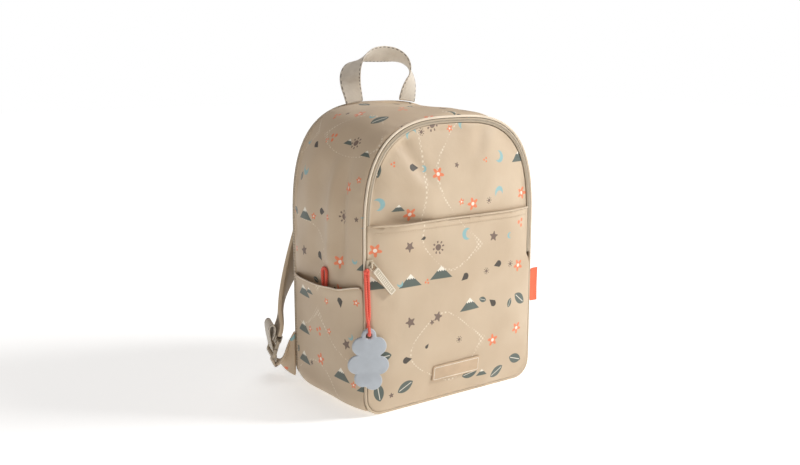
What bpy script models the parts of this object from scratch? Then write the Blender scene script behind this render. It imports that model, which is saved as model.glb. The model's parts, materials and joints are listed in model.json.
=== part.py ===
"""A kids backpack, modelled piece by piece as it is cut, sewn and moulded.

Metres, +Z up, the front towards -Y. The origin is the middle of the base, on the floor.
"""

import math

import bmesh
import bpy
from mathutils import Matrix, Vector

# Body
BODY_WIDTH = 0.240
BODY_DEPTH = 0.145
FRONT_HEIGHT = 0.321
BACK_HEIGHT = 0.331
ARCH_SPRING = 0.185
ARCH_POWER = 3.0
CORNER_RADIUS = 0.022
SIDE_SWELL = 0.006
TOP_SWELL = 0.003
CLOTH = 0.002
SEAM_GAP = 0.0003
MERGE = 0.00002

# Front panel, its slot pocket and the seam around them
PIPING = 0.0030
FLOOR_CLEARANCE = 0.0002
PANEL_CROWN = 0.010
CROWN_POWER = 4.0
SLOT_HEIGHT = 0.210
POCKET_CLOTH = 0.0016
POCKET_SPACE = 0.006
POCKET_FADE = 0.030
RIM_FADE = 0.012

# Zip
ZIP_END_HEIGHT = 0.155
ZIP_TAPE_WIDTH = 0.0050
ZIP_TAPE_THICKNESS = 0.0010
ZIP_TAPE_SUNK = 0.0012
SLIDER_HEIGHT = 0.170
SLIDER_WIDTH = 0.0080
SLIDER_LENGTH = 0.0100
SLIDER_THICKNESS = 0.0026
SLIDER_LIFT = 0.0007
BAIL_LENGTH = 0.0064
BAIL_WIDTH = 0.0016
BAIL_POST = 0.0014
BAIL_BAR = 0.0012
BAIL_PLAY = 0.0004
PULLER_LENGTH = 0.0420
PULLER_WIDTH = 0.0080
PULLER_THICKNESS = 0.0024
PULLER_EYE_BAR = 0.0016
PULLER_EYE_WIDTH = 0.0060
PULLER_EYE_LENGTH = 0.0055
PULLER_EYE_THICKNESS = 0.0014
PULLER_SWING = math.radians(37.5)

# Small trims on the front
PATCH_WIDTH = 0.068
PATCH_HEIGHT = 0.0185
PATCH_THICKNESS = 0.0015
PATCH_CENTRE_HEIGHT = 0.0345
PATCH_CLEARANCE = 0.0004
LABEL_WIDTH = 0.012
LABEL_HEIGHT = 0.041
LABEL_THICKNESS = 0.0010
LABEL_CENTRE_HEIGHT = 0.1135

# Back panel
BACK_PADDING = 0.005
BACK_CROWN = 0.006

# Side pockets
SIDE_POCKET_HEIGHT = 0.130
SIDE_POCKET_BULGE = 0.007
SIDE_POCKET_FOOT_ANGLE = math.radians(45)
LOOP_CORD = 0.0035
LOOP_WIDTH = 0.012
LOOP_RISE = 0.021
LOOP_FOOT = 0.010
LOOP_DEPTH_SHARE = 0.45
LOOP_NARROW = 0.55
LOOP_LEG_STEPS = 4
LOOP_ARCH_STEPS = 8

# Cloud tag on its cord
TAG_CORD = 0.0030
TAG_THICKNESS = 0.0036
TAG_OUT = 0.0058
TAG_SIDE = 0.1185
TAG_TURN = math.radians(20)
TAG_EYE_HEIGHT = 0.0945
TAG_EYE_RADIUS = 0.0033
TAG_LENGTH = 0.068
CORD_TOP_HEIGHT = 0.1640
CORD_TOP_OUT = 0.0021

# Handle and shoulder straps
WEBBING_WIDTH = 0.025
WEBBING_THICKNESS = 0.0014
HANDLE_SPACING = 0.077
HANDLE_RISE = 0.055
HANDLE_INSET = 0.004
STRAP_WIDTH = 0.046
STRAP_THICKNESS = 0.007
STRAP_TOP_HEIGHT = 0.310
STRAP_BOW = 0.026
STRAP_SEAM = 0.0035
LOCK_WIDTH = 0.032
LOCK_LENGTH = 0.026
LOCK_THICKNESS = 0.0045
LOCK_BAR = 0.0040
LOCK_PLAY = 0.0010
KEEPER_DROP = 0.30
KEEPER_STEPS = 6
LOCK_OUT = 0.0150
LOCK_BEHIND = 0.0325
LOCK_HEIGHT = 0.040
LOCK_TILT = math.radians(96)
LOCK_LEAN = math.radians(16)
LOCK_TURN = math.radians(14)
TAB_HEIGHT = 0.058
TAB_FOOT_HEIGHT = 0.006
TAB_THICKNESS = 0.0030
TAB_RISE = 0.007
TAB_SHARES = (0.0, 0.2, 0.42, 0.62, 0.8, 1.0)

# Depth shares of the sections that the side walls are drawn through
WALL_SHARES = (0.0, 0.06, 0.2, 0.4, 0.6, 0.8, 0.94, 1.0)
# Depth shares of the side pockets' columns
POCKET_SHARES = (0.0, 0.05, 0.11, 0.19, 0.28, 0.38, 0.48, 0.58, 0.68, 0.78, 0.87, 0.94, 1.0)
# Ring shares of the round panels, from the rim to the middle
PANEL_RINGS = (1.0, 0.94, 0.82, 0.64, 0.42, 0.2, 0.0)
BOTTOM_STEPS = 3
CORNER_STEPS = 6
LOWER_SIDE_STEPS = 3
ARCH_STEPS = 12
RUN_STEPS = 4

# Side pocket hem: share of the depth, share of the pocket height
HEM = ((0.0, 1.11), (0.3, 0.99), (0.6, 0.97), (1.0, 1.0))
TUCK_FULL = 0.94
TUCK_NONE = 1.13

# Cloud lobes: across, up and radius, as shares of the tag length
LOBES = (
    (0.00, 0.00, 0.215),
    (-0.11, 0.27, 0.150),
    (0.14, 0.25, 0.152),
    (-0.18, -0.02, 0.152),
    (0.18, -0.06, 0.150),
    (-0.085, -0.25, 0.143),
    (0.075, -0.31, 0.145),
)
EYE_LOBE = (0.01, 0.435, 0.118)
LOBE_POINTS = 72
EYE_POINTS = 12

# Tag cord, one of two strands: across and out from the plumb line, and height, in metres
CORD_STRAND = (
    (-0.0017, 0.0000, 0.1640),
    (-0.0017, 0.0001, 0.1560),
    (-0.0017, 0.0002, 0.1450),
    (-0.0017, 0.0003, 0.1330),
    (-0.0017, 0.0006, 0.1220),
    (-0.0015, 0.0015, 0.1140),
    (-0.0009, 0.0028, 0.1080),
    (-0.0003, 0.0037, 0.1030),
    (0.0000, 0.0038, 0.0978),
    (0.0000, 0.0033, 0.0960),
    (0.0000, 0.0018, 0.0953),
)
CORD_BEND = (0.0, 0.0, 0.0952)

# Handle, from a foot to the top: spacing share, rise share, turn of its face in degrees
HANDLE = (
    (1.00, 0.00, 90.0),
    (1.06, 0.17, 84.0),
    (1.13, 0.36, 70.0),
    (1.14, 0.55, 48.0),
    (1.02, 0.74, 18.0),
    (0.74, 0.90, -18.0),
    (0.38, 0.98, -42.0),
    (0.00, 1.00, -50.0),
)

# Shoulder strap, from the top: height share, share of the half width, bow share,
# turn of its outer edge towards the front in degrees, width share
STRAP = (
    (1.00, 0.350, 0.00, 0.0, 1.00),
    (0.91, 0.370, 0.16, 0.0, 1.00),
    (0.72, 0.470, 0.74, 4.0, 1.00),
    (0.50, 0.650, 1.00, 16.0, 0.98),
    (0.30, 0.860, 0.92, 38.0, 0.90),
    (0.15, 1.010, 0.84, 66.0, 0.80),
)
# Adjusting web in the lock's frame, from its tab, through the lower slot and up into the
# folded tail: out as a share of the clearance, up as a share of the lock's length, and
# along the bars as a share of the web's width
WEB = (
    (-1.60, -0.640, 0.00),
    (-1.32, -0.500, 0.00),
    (-1.10, -0.375, 0.00),
    (-0.74, -0.277, 0.00),
    (0.00, -0.212, 0.00),
    (0.74, -0.146, 0.00),
    (1.12, -0.040, 0.00),
    (1.80, 0.120, 0.00),
    (3.00, 0.400, 0.03),
    (4.20, 0.720, 0.07),
    (4.70, 0.950, 0.10),
    (4.30, 1.080, 0.11),
    (3.40, 1.100, 0.11),
    (2.60, 0.980, 0.10),
    (2.15, 0.760, 0.07),
    (2.05, 0.560, 0.05),
    (2.15, 0.400, 0.04),
)
SMOOTH_STEPS = 4

FRONT = -BODY_DEPTH / 2
BACK = BODY_DEPTH / 2
HALF = BODY_WIDTH / 2
TUCK = POCKET_CLOTH + SEAM_GAP
WALL_START = FRONT + PIPING + SEAM_GAP
WALL_END = BACK - SEAM_GAP
TAPE_INSET = PIPING + SEAM_GAP
ZIP_RIM_INSET = TAPE_INSET + ZIP_TAPE_WIDTH + SEAM_GAP
POCKET_RIM_INSET = PIPING + SEAM_GAP
PANEL_RIM_INSET = TUCK + CLOTH + 2 * SEAM_GAP
PANEL_BEHIND = POCKET_CLOTH + SEAM_GAP

COLOURS = {
    "cloth": ((0.62, 0.50, 0.37, 1), 0.55, 0.0),
    "cloth_light": ((0.72, 0.61, 0.47, 1), 0.55, 0.0),
    "webbing": ((0.60, 0.54, 0.46, 1), 0.8, 0.0),
    "tape": ((0.55, 0.47, 0.38, 1), 0.7, 0.0),
    "cord": ((0.85, 0.13, 0.08, 1), 0.5, 0.0),
    "label": ((0.87, 0.20, 0.08, 1), 0.6, 0.0),
    "rubber": ((0.42, 0.47, 0.53, 1), 0.45, 0.0),
    "trim": ((0.72, 0.64, 0.50, 1), 0.5, 0.0),
    "buckle": ((0.48, 0.42, 0.35, 1), 0.4, 0.0),
}


def clear_scene():
    for item in list(bpy.data.objects):
        bpy.data.objects.remove(item, do_unlink=True)


def new_collection(name):
    group = bpy.data.collections.new(name)
    bpy.context.scene.collection.children.link(group)
    return group


def finish_material(name, kind):
    colour, roughness, metallic = COLOURS[kind]
    material = bpy.data.materials.new(name)
    material.use_nodes = True
    shader = material.node_tree.nodes["Principled BSDF"]
    shader.inputs["Base Color"].default_value = colour
    shader.inputs["Roughness"].default_value = roughness
    shader.inputs["Metallic"].default_value = metallic
    material.diffuse_color = colour
    return material


def add_object(name, data, kind):
    piece = bpy.data.objects.new(name, data)
    PARTS.objects.link(piece)
    data.materials.append(finish_material(name, kind))
    return piece


def mix(low, high, share):
    return low + (high - low) * share


def ease(share):
    share = min(1.0, max(0.0, share))
    return share * share * (3 - 2 * share)


def read_table(rows, at):
    """The second column of a table, read at a value of its first, with eased steps."""
    for (low, first), (high, second) in zip(rows, rows[1:]):
        if at <= high:
            return mix(first, second, ease((at - low) / (high - low)))
    return rows[-1][1]


def smooth_rows(rows, steps=SMOOTH_STEPS):
    """Rows of numbers, with steps more on a smooth curve between each two."""
    padded = [rows[0], *rows, rows[-1]]
    out = []
    for a, b, c, d in zip(padded, padded[1:], padded[2:], padded[3:]):
        for step in range(steps):
            t = step / steps
            out.append(
                tuple(
                    0.5 * (2 * q + (r - p) * t + (2 * p - 5 * q + 4 * r - s) * t**2
                           + (3 * q - p - 3 * r + s) * t**3)
                    for p, q, r, s in zip(a, b, c, d)
                )
            )
    return [*out, tuple(rows[-1])]


# The body's outline and its sections


def swell(share):
    return 1 - (2 * share - 1) ** 4


def half_width(share):
    return HALF + SIDE_SWELL * swell(share)


def top_height(share):
    return mix(FRONT_HEIGHT, BACK_HEIGHT, share) + TOP_SWELL * swell(share)


def tuck(height):
    """How far the wall lies in behind a side pocket."""
    full, none = TUCK_FULL * SIDE_POCKET_HEIGHT, TUCK_NONE * SIDE_POCKET_HEIGHT
    low = min(1.0, max(0.0, height / CORNER_RADIUS))
    return TUCK * low * min(1.0, max(0.0, (none - height) / (none - full)))


def side_heights():
    full, none = TUCK_FULL * SIDE_POCKET_HEIGHT, TUCK_NONE * SIDE_POCKET_HEIGHT
    lower = [mix(CORNER_RADIUS, full, k / LOWER_SIDE_STEPS) for k in range(LOWER_SIDE_STEPS + 1)]
    return [*lower, *sorted((none, ZIP_END_HEIGHT)), (ZIP_END_HEIGHT + ARCH_SPRING) / 2]


def half_outline(half, top, inset, wall=False):
    """The outline from the middle of the base round to the middle of the top, on +X."""
    radius = CORNER_RADIUS - inset
    flat = half - CORNER_RADIUS
    points = [(flat * k / BOTTOM_STEPS, inset) for k in range(BOTTOM_STEPS)]
    for k in range(CORNER_STEPS):
        angle = math.pi / 2 * k / CORNER_STEPS
        points.append((flat + radius * math.sin(angle), CORNER_RADIUS - radius * math.cos(angle)))
    points += [(half - inset, height) for height in side_heights()]
    for k in range(ARCH_STEPS + 1):
        angle = math.pi / 2 * k / ARCH_STEPS
        across = (half - inset) * abs(math.cos(angle)) ** (2 / ARCH_POWER)
        points.append((across, mix(ARCH_SPRING, top - inset, math.sin(angle) ** (2 / ARCH_POWER))))
    points[-1] = (0.0, top - inset)
    if wall:
        points = [(x - tuck(z) if x > flat else x, z) for x, z in points]
    return points


def outline(half, top, inset, wall=False):
    right = half_outline(half, top, inset, wall)
    return right + [(-x, z) for x, z in reversed(right[1:-1])]


def outline_half_width(height, half, top, inset):
    """Half the outline's width at a height."""
    if height < CORNER_RADIUS:
        radius, drop = CORNER_RADIUS - inset, CORNER_RADIUS - height
        return half - CORNER_RADIUS + math.sqrt(max(0.0, radius**2 - drop**2))
    if height <= ARCH_SPRING:
        return half - inset
    up = min(1.0, (height - ARCH_SPRING) / (top - inset - ARCH_SPRING))
    return (half - inset) * (1 - up**ARCH_POWER) ** (1 / ARCH_POWER)


def rim_inset(height, lower):
    """How far a front panel's rim lies in from the outline: more where the zip passes."""
    share = ease((height - ZIP_END_HEIGHT + RIM_FADE) / RIM_FADE)
    return mix(lower, ZIP_RIM_INSET, share)


def crown_shape(x, height, half, top, low_inset, high_inset, inset):
    """From 0 on a panel's rim to 1 in its middle."""
    middle = (low_inset + top - high_inset) / 2
    reach = (top - high_inset - low_inset) / 2
    width = max(MERGE, outline_half_width(height, half, top, inset))
    across = max(0.0, 1 - abs(x / width) ** CROWN_POWER)
    return across * max(0.0, 1 - abs((height - middle) / reach) ** CROWN_POWER)


def front_shape(x, height):
    inset = rim_inset(height, POCKET_RIM_INSET)
    return crown_shape(x, height, HALF, FRONT_HEIGHT, POCKET_RIM_INSET, ZIP_RIM_INSET, inset)


def pocket_out(x, height):
    """How far the front pocket's face stands in front of the seam."""
    return PANEL_CROWN * front_shape(x, height)


def panel_out(x, height):
    upper = ease((height - SLOT_HEIGHT + POCKET_FADE) / POCKET_FADE)
    return (PANEL_CROWN - POCKET_SPACE * (1 - upper)) * front_shape(x, height) - PANEL_BEHIND


def back_out(x, height):
    """How far the back panel's outer face stands behind the seam."""
    shape = crown_shape(x, height, HALF, BACK_HEIGHT, 0.0, 0.0, 0.0)
    return SEAM_GAP + BACK_PADDING + BACK_CROWN * shape


# Mesh builders


def shaped_grid(columns, rows, place, inside):
    """A grid whose corners are placed by a function, faces pointing away from inside."""
    bm = bmesh.new()
    bmesh.ops.create_grid(bm, x_segments=columns, y_segments=rows, size=0.5)
    for corner in bm.verts:
        column = round((corner.co.x + 0.5) * columns)
        row = round((corner.co.y + 0.5) * rows)
        corner.co = Vector(place(column, row))
    bmesh.ops.remove_doubles(bm, verts=bm.verts, dist=MERGE)
    bmesh.ops.recalc_face_normals(bm, faces=bm.faces)
    bm.normal_update()
    away = sum(face.normal.dot(face.calc_center_median() - Vector(inside)) for face in bm.faces)
    if away < 0:
        bmesh.ops.reverse_faces(bm, faces=bm.faces)
    return bm


def mesh_from(bm, name):
    mesh = bpy.data.meshes.new(name)
    bm.to_mesh(mesh)
    bm.free()
    mesh.shade_smooth()
    mesh.set_sharp_from_angle(angle=math.radians(40))
    return mesh


def thicken(piece, thickness, offset=-1.0):
    solid = piece.modifiers.new("wall", "SOLIDIFY")
    solid.thickness = thickness
    solid.offset = offset
    solid.use_even_offset = True
    solid.use_rim = True


def round_edges(piece, width, segments=2, angle=30):
    bevel = piece.modifiers.new("round", "BEVEL")
    bevel.width = width
    bevel.segments = segments
    bevel.limit_method = "ANGLE"
    bevel.angle_limit = math.radians(angle)


def box_mesh(name, size, centre=(0, 0, 0)):
    bm = bmesh.new()
    bmesh.ops.create_cube(bm, size=1.0)
    bmesh.ops.scale(bm, vec=size, verts=bm.verts)
    bmesh.ops.translate(bm, vec=centre, verts=bm.verts)
    mesh = bpy.data.meshes.new(name)
    bm.to_mesh(mesh)
    bm.free()
    return mesh


def tube(name, points, diameter, kind):
    data = bpy.data.curves.new(name, "CURVE")
    data.dimensions = "3D"
    data.bevel_depth = diameter / 2
    data.bevel_resolution = 2
    data.use_fill_caps = True
    spline = data.splines.new("POLY")
    spline.points.add(len(points) - 1)
    for place, point in zip(spline.points, points):
        place.co = (*point, 1)
    return add_object(name, data, kind)


def join_shapes(piece, other, operation, name):
    """Adds a Boolean with another mesh, which goes with the cutters."""
    tool = bpy.data.objects.new(name, other)
    CUTTERS.objects.link(tool)
    tool.matrix_world = piece.matrix_world
    tool.hide_render = True
    tool.display_type = "WIRE"
    step = piece.modifiers.new(name, "BOOLEAN")
    step.operation = operation
    step.object = tool
    step.solver = "EXACT"


def ribbon(name, stations, thickness, kind, across=2):
    """A band through stations, each a centre, a vector across it and a half width."""

    def place(column, row):
        centre, side, half = stations[column]
        return centre + side * mix(-half, half, row / across)

    first = stations[0][0]
    bm = shaped_grid(len(stations) - 1, across, place, first - Vector((0, 1, 0)))
    piece = add_object(name, mesh_from(bm, name), kind)
    thicken(piece, thickness, offset=0.0)
    return piece


# Sewn body


def build_gusset():
    loops = [
        [(x, mix(WALL_START, WALL_END, share), z)
         for x, z in outline(half_width(share), top_height(share), 0.0, wall=True)]
        for share in WALL_SHARES
    ]
    count = len(loops[0])
    middle = (0, 0, FRONT_HEIGHT / 2)
    bm = shaped_grid(count, len(loops) - 1, lambda c, r: loops[r][c % count], middle)
    piece = add_object("gusset", mesh_from(bm, "gusset"), "cloth")
    thicken(piece, CLOTH)


def panel_grid(rim, depth_at, inside):
    """A round panel of rings that shrink from its rim to its middle."""
    middle = (max(z for _, z in rim) + min(z for _, z in rim)) / 2

    def place(column, row):
        x, z = rim[column % len(rim)]
        ring = PANEL_RINGS[row]
        x, z = x * ring, mix(middle, z, ring)
        return (x, depth_at(x, z), z)

    return shaped_grid(len(rim), len(PANEL_RINGS) - 1, place, inside)


def front_rim(lower):
    """The rim of a front panel, which draws in where the zip passes."""
    wide = outline(HALF, FRONT_HEIGHT, lower)
    narrow = outline(HALF, FRONT_HEIGHT, ZIP_RIM_INSET)
    out = []
    for (x, z), (inner_x, inner_z) in zip(wide, narrow):
        share = ease((z - ZIP_END_HEIGHT + RIM_FADE) / RIM_FADE)
        out.append((mix(x, inner_x, share), mix(z, inner_z, share)))
    return out


def build_front_panel():
    middle = (0, BACK, FRONT_HEIGHT / 2)
    rim = front_rim(PANEL_RIM_INSET)
    bm = panel_grid(rim, lambda x, z: FRONT - panel_out(x, z), middle)
    piece = add_object("front_panel", mesh_from(bm, "front_panel"), "cloth")
    thicken(piece, CLOTH)


def build_front_pocket():
    middle = (0, BACK, FRONT_HEIGHT / 2)
    rim = front_rim(POCKET_RIM_INSET)
    bm = panel_grid(rim, lambda x, z: FRONT - pocket_out(x, z), middle)
    everything = [*bm.verts, *bm.edges, *bm.faces]
    bmesh.ops.bisect_plane(
        bm, geom=everything, dist=MERGE, plane_co=(0, 0, SLOT_HEIGHT), plane_no=(0, 0, 1), clear_outer=True
    )
    bmesh.ops.remove_doubles(bm, verts=bm.verts, dist=MERGE)
    piece = add_object("front_pocket", mesh_from(bm, "front_pocket"), "cloth")
    thicken(piece, POCKET_CLOTH)


def build_back_panel():
    middle = (0, FRONT, BACK_HEIGHT / 2)
    rim = outline(HALF, BACK_HEIGHT, 0.0)
    bm = panel_grid(rim, lambda x, z: BACK + back_out(x, z), middle)
    piece = add_object("back_panel", mesh_from(bm, "back_panel"), "cloth")
    thicken(piece, BACK_PADDING)


def upper_run(inset):
    """The outline above the zip's ends, from -X over the top to +X."""
    side = [(HALF - inset, mix(ZIP_END_HEIGHT, ARCH_SPRING, k / RUN_STEPS)) for k in range(RUN_STEPS)]
    arch = half_outline(HALF, FRONT_HEIGHT, inset)[-(ARCH_STEPS + 1):]
    right = side + arch
    return [(-x, z) for x, z in right] + list(reversed(right[:-1]))


def lower_run(inset):
    """The outline below the zip's ends, from -X under the base to +X."""
    end = ZIP_END_HEIGHT - 2 * SEAM_GAP
    side = [(HALF - inset, mix(CORNER_RADIUS, end, k / RUN_STEPS)) for k in range(RUN_STEPS + 1)]
    right = half_outline(HALF, FRONT_HEIGHT, inset)[: BOTTOM_STEPS + CORNER_STEPS] + side
    return [(-x, z) for x, z in reversed(right[1:])] + right


def build_seam():
    inset = PIPING / 2 + FLOOR_CLEARANCE
    deep = FRONT + PIPING / 2
    tube("front_piping", [(x, deep, z) for x, z in lower_run(inset)], PIPING, "cloth_light")
    tube("zip_welt", [(x, deep, z) for x, z in upper_run(PIPING / 2)], PIPING, "cloth_light")


def build_zip_tape():
    outer, inner = upper_run(TAPE_INSET), upper_run(TAPE_INSET + ZIP_TAPE_WIDTH)

    def place(column, row):
        x, z = (outer, inner)[row][column]
        return (x, FRONT + ZIP_TAPE_SUNK, z)

    bm = shaped_grid(len(outer) - 1, 1, place, (0, BACK, FRONT_HEIGHT / 2))
    piece = add_object("zip_tape", mesh_from(bm, "zip_tape"), "tape")
    thicken(piece, ZIP_TAPE_THICKNESS)


# Zip slider and puller


def slider_place():
    """The middle of the slider's seat on the left run of the tape."""
    across = HALF - TAPE_INSET - ZIP_TAPE_WIDTH / 2
    return Vector((-across, FRONT - SLIDER_LIFT, SLIDER_HEIGHT))


def bail_gap():
    return PULLER_EYE_THICKNESS + 2 * BAIL_PLAY


def build_slider():
    seat = slider_place()
    body = box_mesh("zip_slider", (SLIDER_WIDTH, SLIDER_THICKNESS, SLIDER_LENGTH), (0, -SLIDER_THICKNESS / 2, 0))
    piece = add_object("zip_slider", body, "buckle")
    piece.matrix_world = Matrix.Translation(seat)
    height = bail_gap() + BAIL_BAR
    bury = SLIDER_THICKNESS / 2
    bail_size = (BAIL_WIDTH, height + bury, BAIL_LENGTH)
    bail = box_mesh("slider_bail", bail_size, (0, -SLIDER_THICKNESS - (height - bury) / 2, 0))
    gap_size = (2 * BAIL_WIDTH, bail_gap(), BAIL_LENGTH - 2 * BAIL_POST)
    gap = box_mesh("slider_gap", gap_size, (0, -SLIDER_THICKNESS - bail_gap() / 2, 0))
    round_edges(piece, SLIDER_THICKNESS / 4, segments=1)
    join_shapes(piece, bail, "UNION", "slider_bail")
    join_shapes(piece, gap, "DIFFERENCE", "slider_gap")


def puller_axis():
    seat = slider_place()
    return seat - Vector((0, SLIDER_THICKNESS + bail_gap() / 2, 0))


def puller_tip(length):
    axis = puller_axis()
    return axis.x + length * math.sin(PULLER_SWING), axis.z - length * math.cos(PULLER_SWING)


def puller_tilt():
    """How far the puller leans out at rest, so that it lies on the crowned pocket."""
    back = FRONT - puller_axis().y - PULLER_EYE_THICKNESS / 2
    slopes = []
    for step in range(2, 9):
        length = PULLER_LENGTH * step / 8
        for edge in (-0.5, 0.5):
            x, z = puller_tip(length)
            x += edge * PULLER_WIDTH * math.cos(PULLER_SWING)
            z += edge * PULLER_WIDTH * math.sin(PULLER_SWING)
            slopes.append((pocket_out(x, z) + SEAM_GAP - back) / length)
    return math.asin(max(0.0, *slopes))


def build_puller():
    back = -PULLER_EYE_THICKNESS / 2
    start = PULLER_EYE_BAR / 2 + PULLER_EYE_LENGTH
    tab_length = PULLER_LENGTH - start
    tab_size = (PULLER_WIDTH, PULLER_THICKNESS, tab_length)
    tab = box_mesh("zip_puller", tab_size, (0, -back - PULLER_THICKNESS / 2, -start - tab_length / 2))
    piece = add_object("zip_puller", tab, "trim")
    lean = Matrix.Rotation(-puller_tilt(), 4, "X")
    swing = Matrix.Rotation(-PULLER_SWING, 4, "Y")
    piece.matrix_world = Matrix.Translation(puller_axis()) @ swing @ lean
    round_edges(piece, PULLER_THICKNESS / 4, segments=2)
    ring_length = start + PULLER_EYE_BAR / 2 + PULLER_EYE_BAR
    ring_size = (PULLER_WIDTH, PULLER_EYE_THICKNESS, ring_length)
    ring_middle = PULLER_EYE_BAR / 2 - ring_length / 2
    ring = box_mesh("puller_ring", ring_size, (0, 0, ring_middle))
    hole_size = (PULLER_EYE_WIDTH, 4 * PULLER_THICKNESS, PULLER_EYE_LENGTH)
    hole = box_mesh("puller_hole", hole_size, (0, 0, -start + PULLER_EYE_LENGTH / 2))
    join_shapes(piece, ring, "UNION", "puller_ring")
    join_shapes(piece, hole, "DIFFERENCE", "puller_hole")


# Trims on the front


def build_patch():
    low = PATCH_CENTRE_HEIGHT - PATCH_HEIGHT / 2
    high = PATCH_CENTRE_HEIGHT + PATCH_HEIGHT / 2
    low_out, high_out = pocket_out(0, low), pocket_out(0, high)
    lean = math.atan2(high_out - low_out, PATCH_HEIGHT)
    middle_out = max(pocket_out(0, PATCH_CENTRE_HEIGHT), (low_out + high_out) / 2)
    seat = middle_out + PATCH_CLEARANCE + PATCH_THICKNESS / 2
    size = (PATCH_WIDTH, PATCH_THICKNESS, PATCH_HEIGHT)
    piece = add_object("front_patch", box_mesh("front_patch", size), "trim")
    place = Matrix.Translation((0, FRONT - seat, PATCH_CENTRE_HEIGHT))
    piece.matrix_world = place @ Matrix.Rotation(lean, 4, "X")
    round_edges(piece, PATCH_THICKNESS / 3, segments=1)


def build_label():
    size = (LABEL_WIDTH, LABEL_THICKNESS, LABEL_HEIGHT)
    piece = add_object("side_label", box_mesh("side_label", size), "label")
    across = HALF + SEAM_GAP + LABEL_WIDTH / 2
    piece.matrix_world = Matrix.Translation((across, FRONT + PIPING / 2, LABEL_CENTRE_HEIGHT))


# Side pockets


def pocket_rows():
    """The pocket's rows: corner angles first, then shares of its straight height."""
    angles = [math.pi / 2 * k / CORNER_STEPS for k in range(CORNER_STEPS)]
    corner = [("corner", angle) for angle in angles if angle >= SIDE_POCKET_FOOT_ANGLE - MERGE]
    full = TUCK_FULL * SIDE_POCKET_HEIGHT
    sides = [("height", mix(CORNER_RADIUS, full, k / LOWER_SIDE_STEPS)) for k in range(LOWER_SIDE_STEPS + 1)]
    return [*corner, *sides, ("hem", 0.0)]


def pocket_place(column, row, rows):
    """A corner of the left pocket's inner face, close to the wall and open at the hem."""
    share = POCKET_SHARES[column]
    kind, value = rows[row]
    hem = SIDE_POCKET_HEIGHT * read_table(HEM, share)
    half = half_width(share)
    deep = mix(WALL_START, WALL_END, share)
    if kind == "corner":
        flat = half - CORNER_RADIUS
        height = CORNER_RADIUS * (1 - math.cos(value))
        across = flat + CORNER_RADIUS * math.sin(value) - tuck(height)
        across += SEAM_GAP * math.sin(value)
        return (-across - SEAM_GAP, deep, height - SEAM_GAP * math.cos(value))
    height = hem if kind == "hem" else value
    bulge = SIDE_POCKET_BULGE * math.sin(math.pi * share) * (height / hem) ** 2
    return (-(half - tuck(height) + SEAM_GAP + bulge), deep, height)


def build_side_pockets():
    rows = pocket_rows()
    for name, side in (("side_pocket_left", -1), ("side_pocket_right", 1)):

        def place(column, row, side=side):
            x, y, z = pocket_place(column, row, rows)
            return (-side * x, y, z)

        bm = shaped_grid(len(POCKET_SHARES) - 1, len(rows) - 1, place, (0, 0, SIDE_POCKET_HEIGHT / 2))
        piece = add_object(name, mesh_from(bm, name), "cloth")
        thicken(piece, POCKET_CLOTH, offset=1.0)


def build_pocket_loop():
    """A cord loop that stands up out of the left side pocket, its feet inside it."""
    share = LOOP_DEPTH_SHARE
    middle = mix(WALL_START, WALL_END, share)
    hem = SIDE_POCKET_HEIGHT * read_table(HEM, share)
    across = -(half_width(share) + SEAM_GAP + LOOP_CORD / 2)
    radius = (LOOP_WIDTH - LOOP_CORD) / 2
    top = hem + LOOP_RISE - LOOP_CORD / 2 - radius
    foot = hem - LOOP_FOOT
    steps = [k / LOOP_LEG_STEPS for k in range(LOOP_LEG_STEPS)]
    leg = [(-radius * mix(LOOP_NARROW, 1.0, ease(step)), mix(foot, top, step)) for step in steps]
    angles = [math.pi * k / LOOP_ARCH_STEPS for k in range(LOOP_ARCH_STEPS + 1)]
    arch = [(-radius * math.cos(angle), top + radius * math.sin(angle)) for angle in angles]
    back = [(-y, z) for y, z in reversed(leg)]
    points = [(across, middle + y, z) for y, z in leg + arch + back]
    tube("pocket_loop", points, LOOP_CORD, "cord")


# Cloud tag and its cord


def tag_frame():
    """The tag's frame: across, out from the bag, and up, at its cord's plumb line."""
    across = Vector((math.cos(TAG_TURN), -math.sin(TAG_TURN), 0))
    out = Vector((-math.sin(TAG_TURN), -math.cos(TAG_TURN), 0))
    return across, out


def lobe_reach(angle):
    """How far the cloud's outline lies from its middle along an angle."""
    ray = Vector((math.cos(angle), math.sin(angle)))
    reach = 0.0
    for x, z, radius in (*LOBES, EYE_LOBE):
        along = x * ray.x + z * ray.y
        aside = x * ray.y - z * ray.x
        if abs(aside) < radius and along + radius > 0:
            reach = max(reach, along + math.sqrt(radius**2 - aside**2))
    return reach * TAG_LENGTH


def tag_middle():
    return TAG_EYE_HEIGHT - EYE_LOBE[1] * TAG_LENGTH


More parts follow.
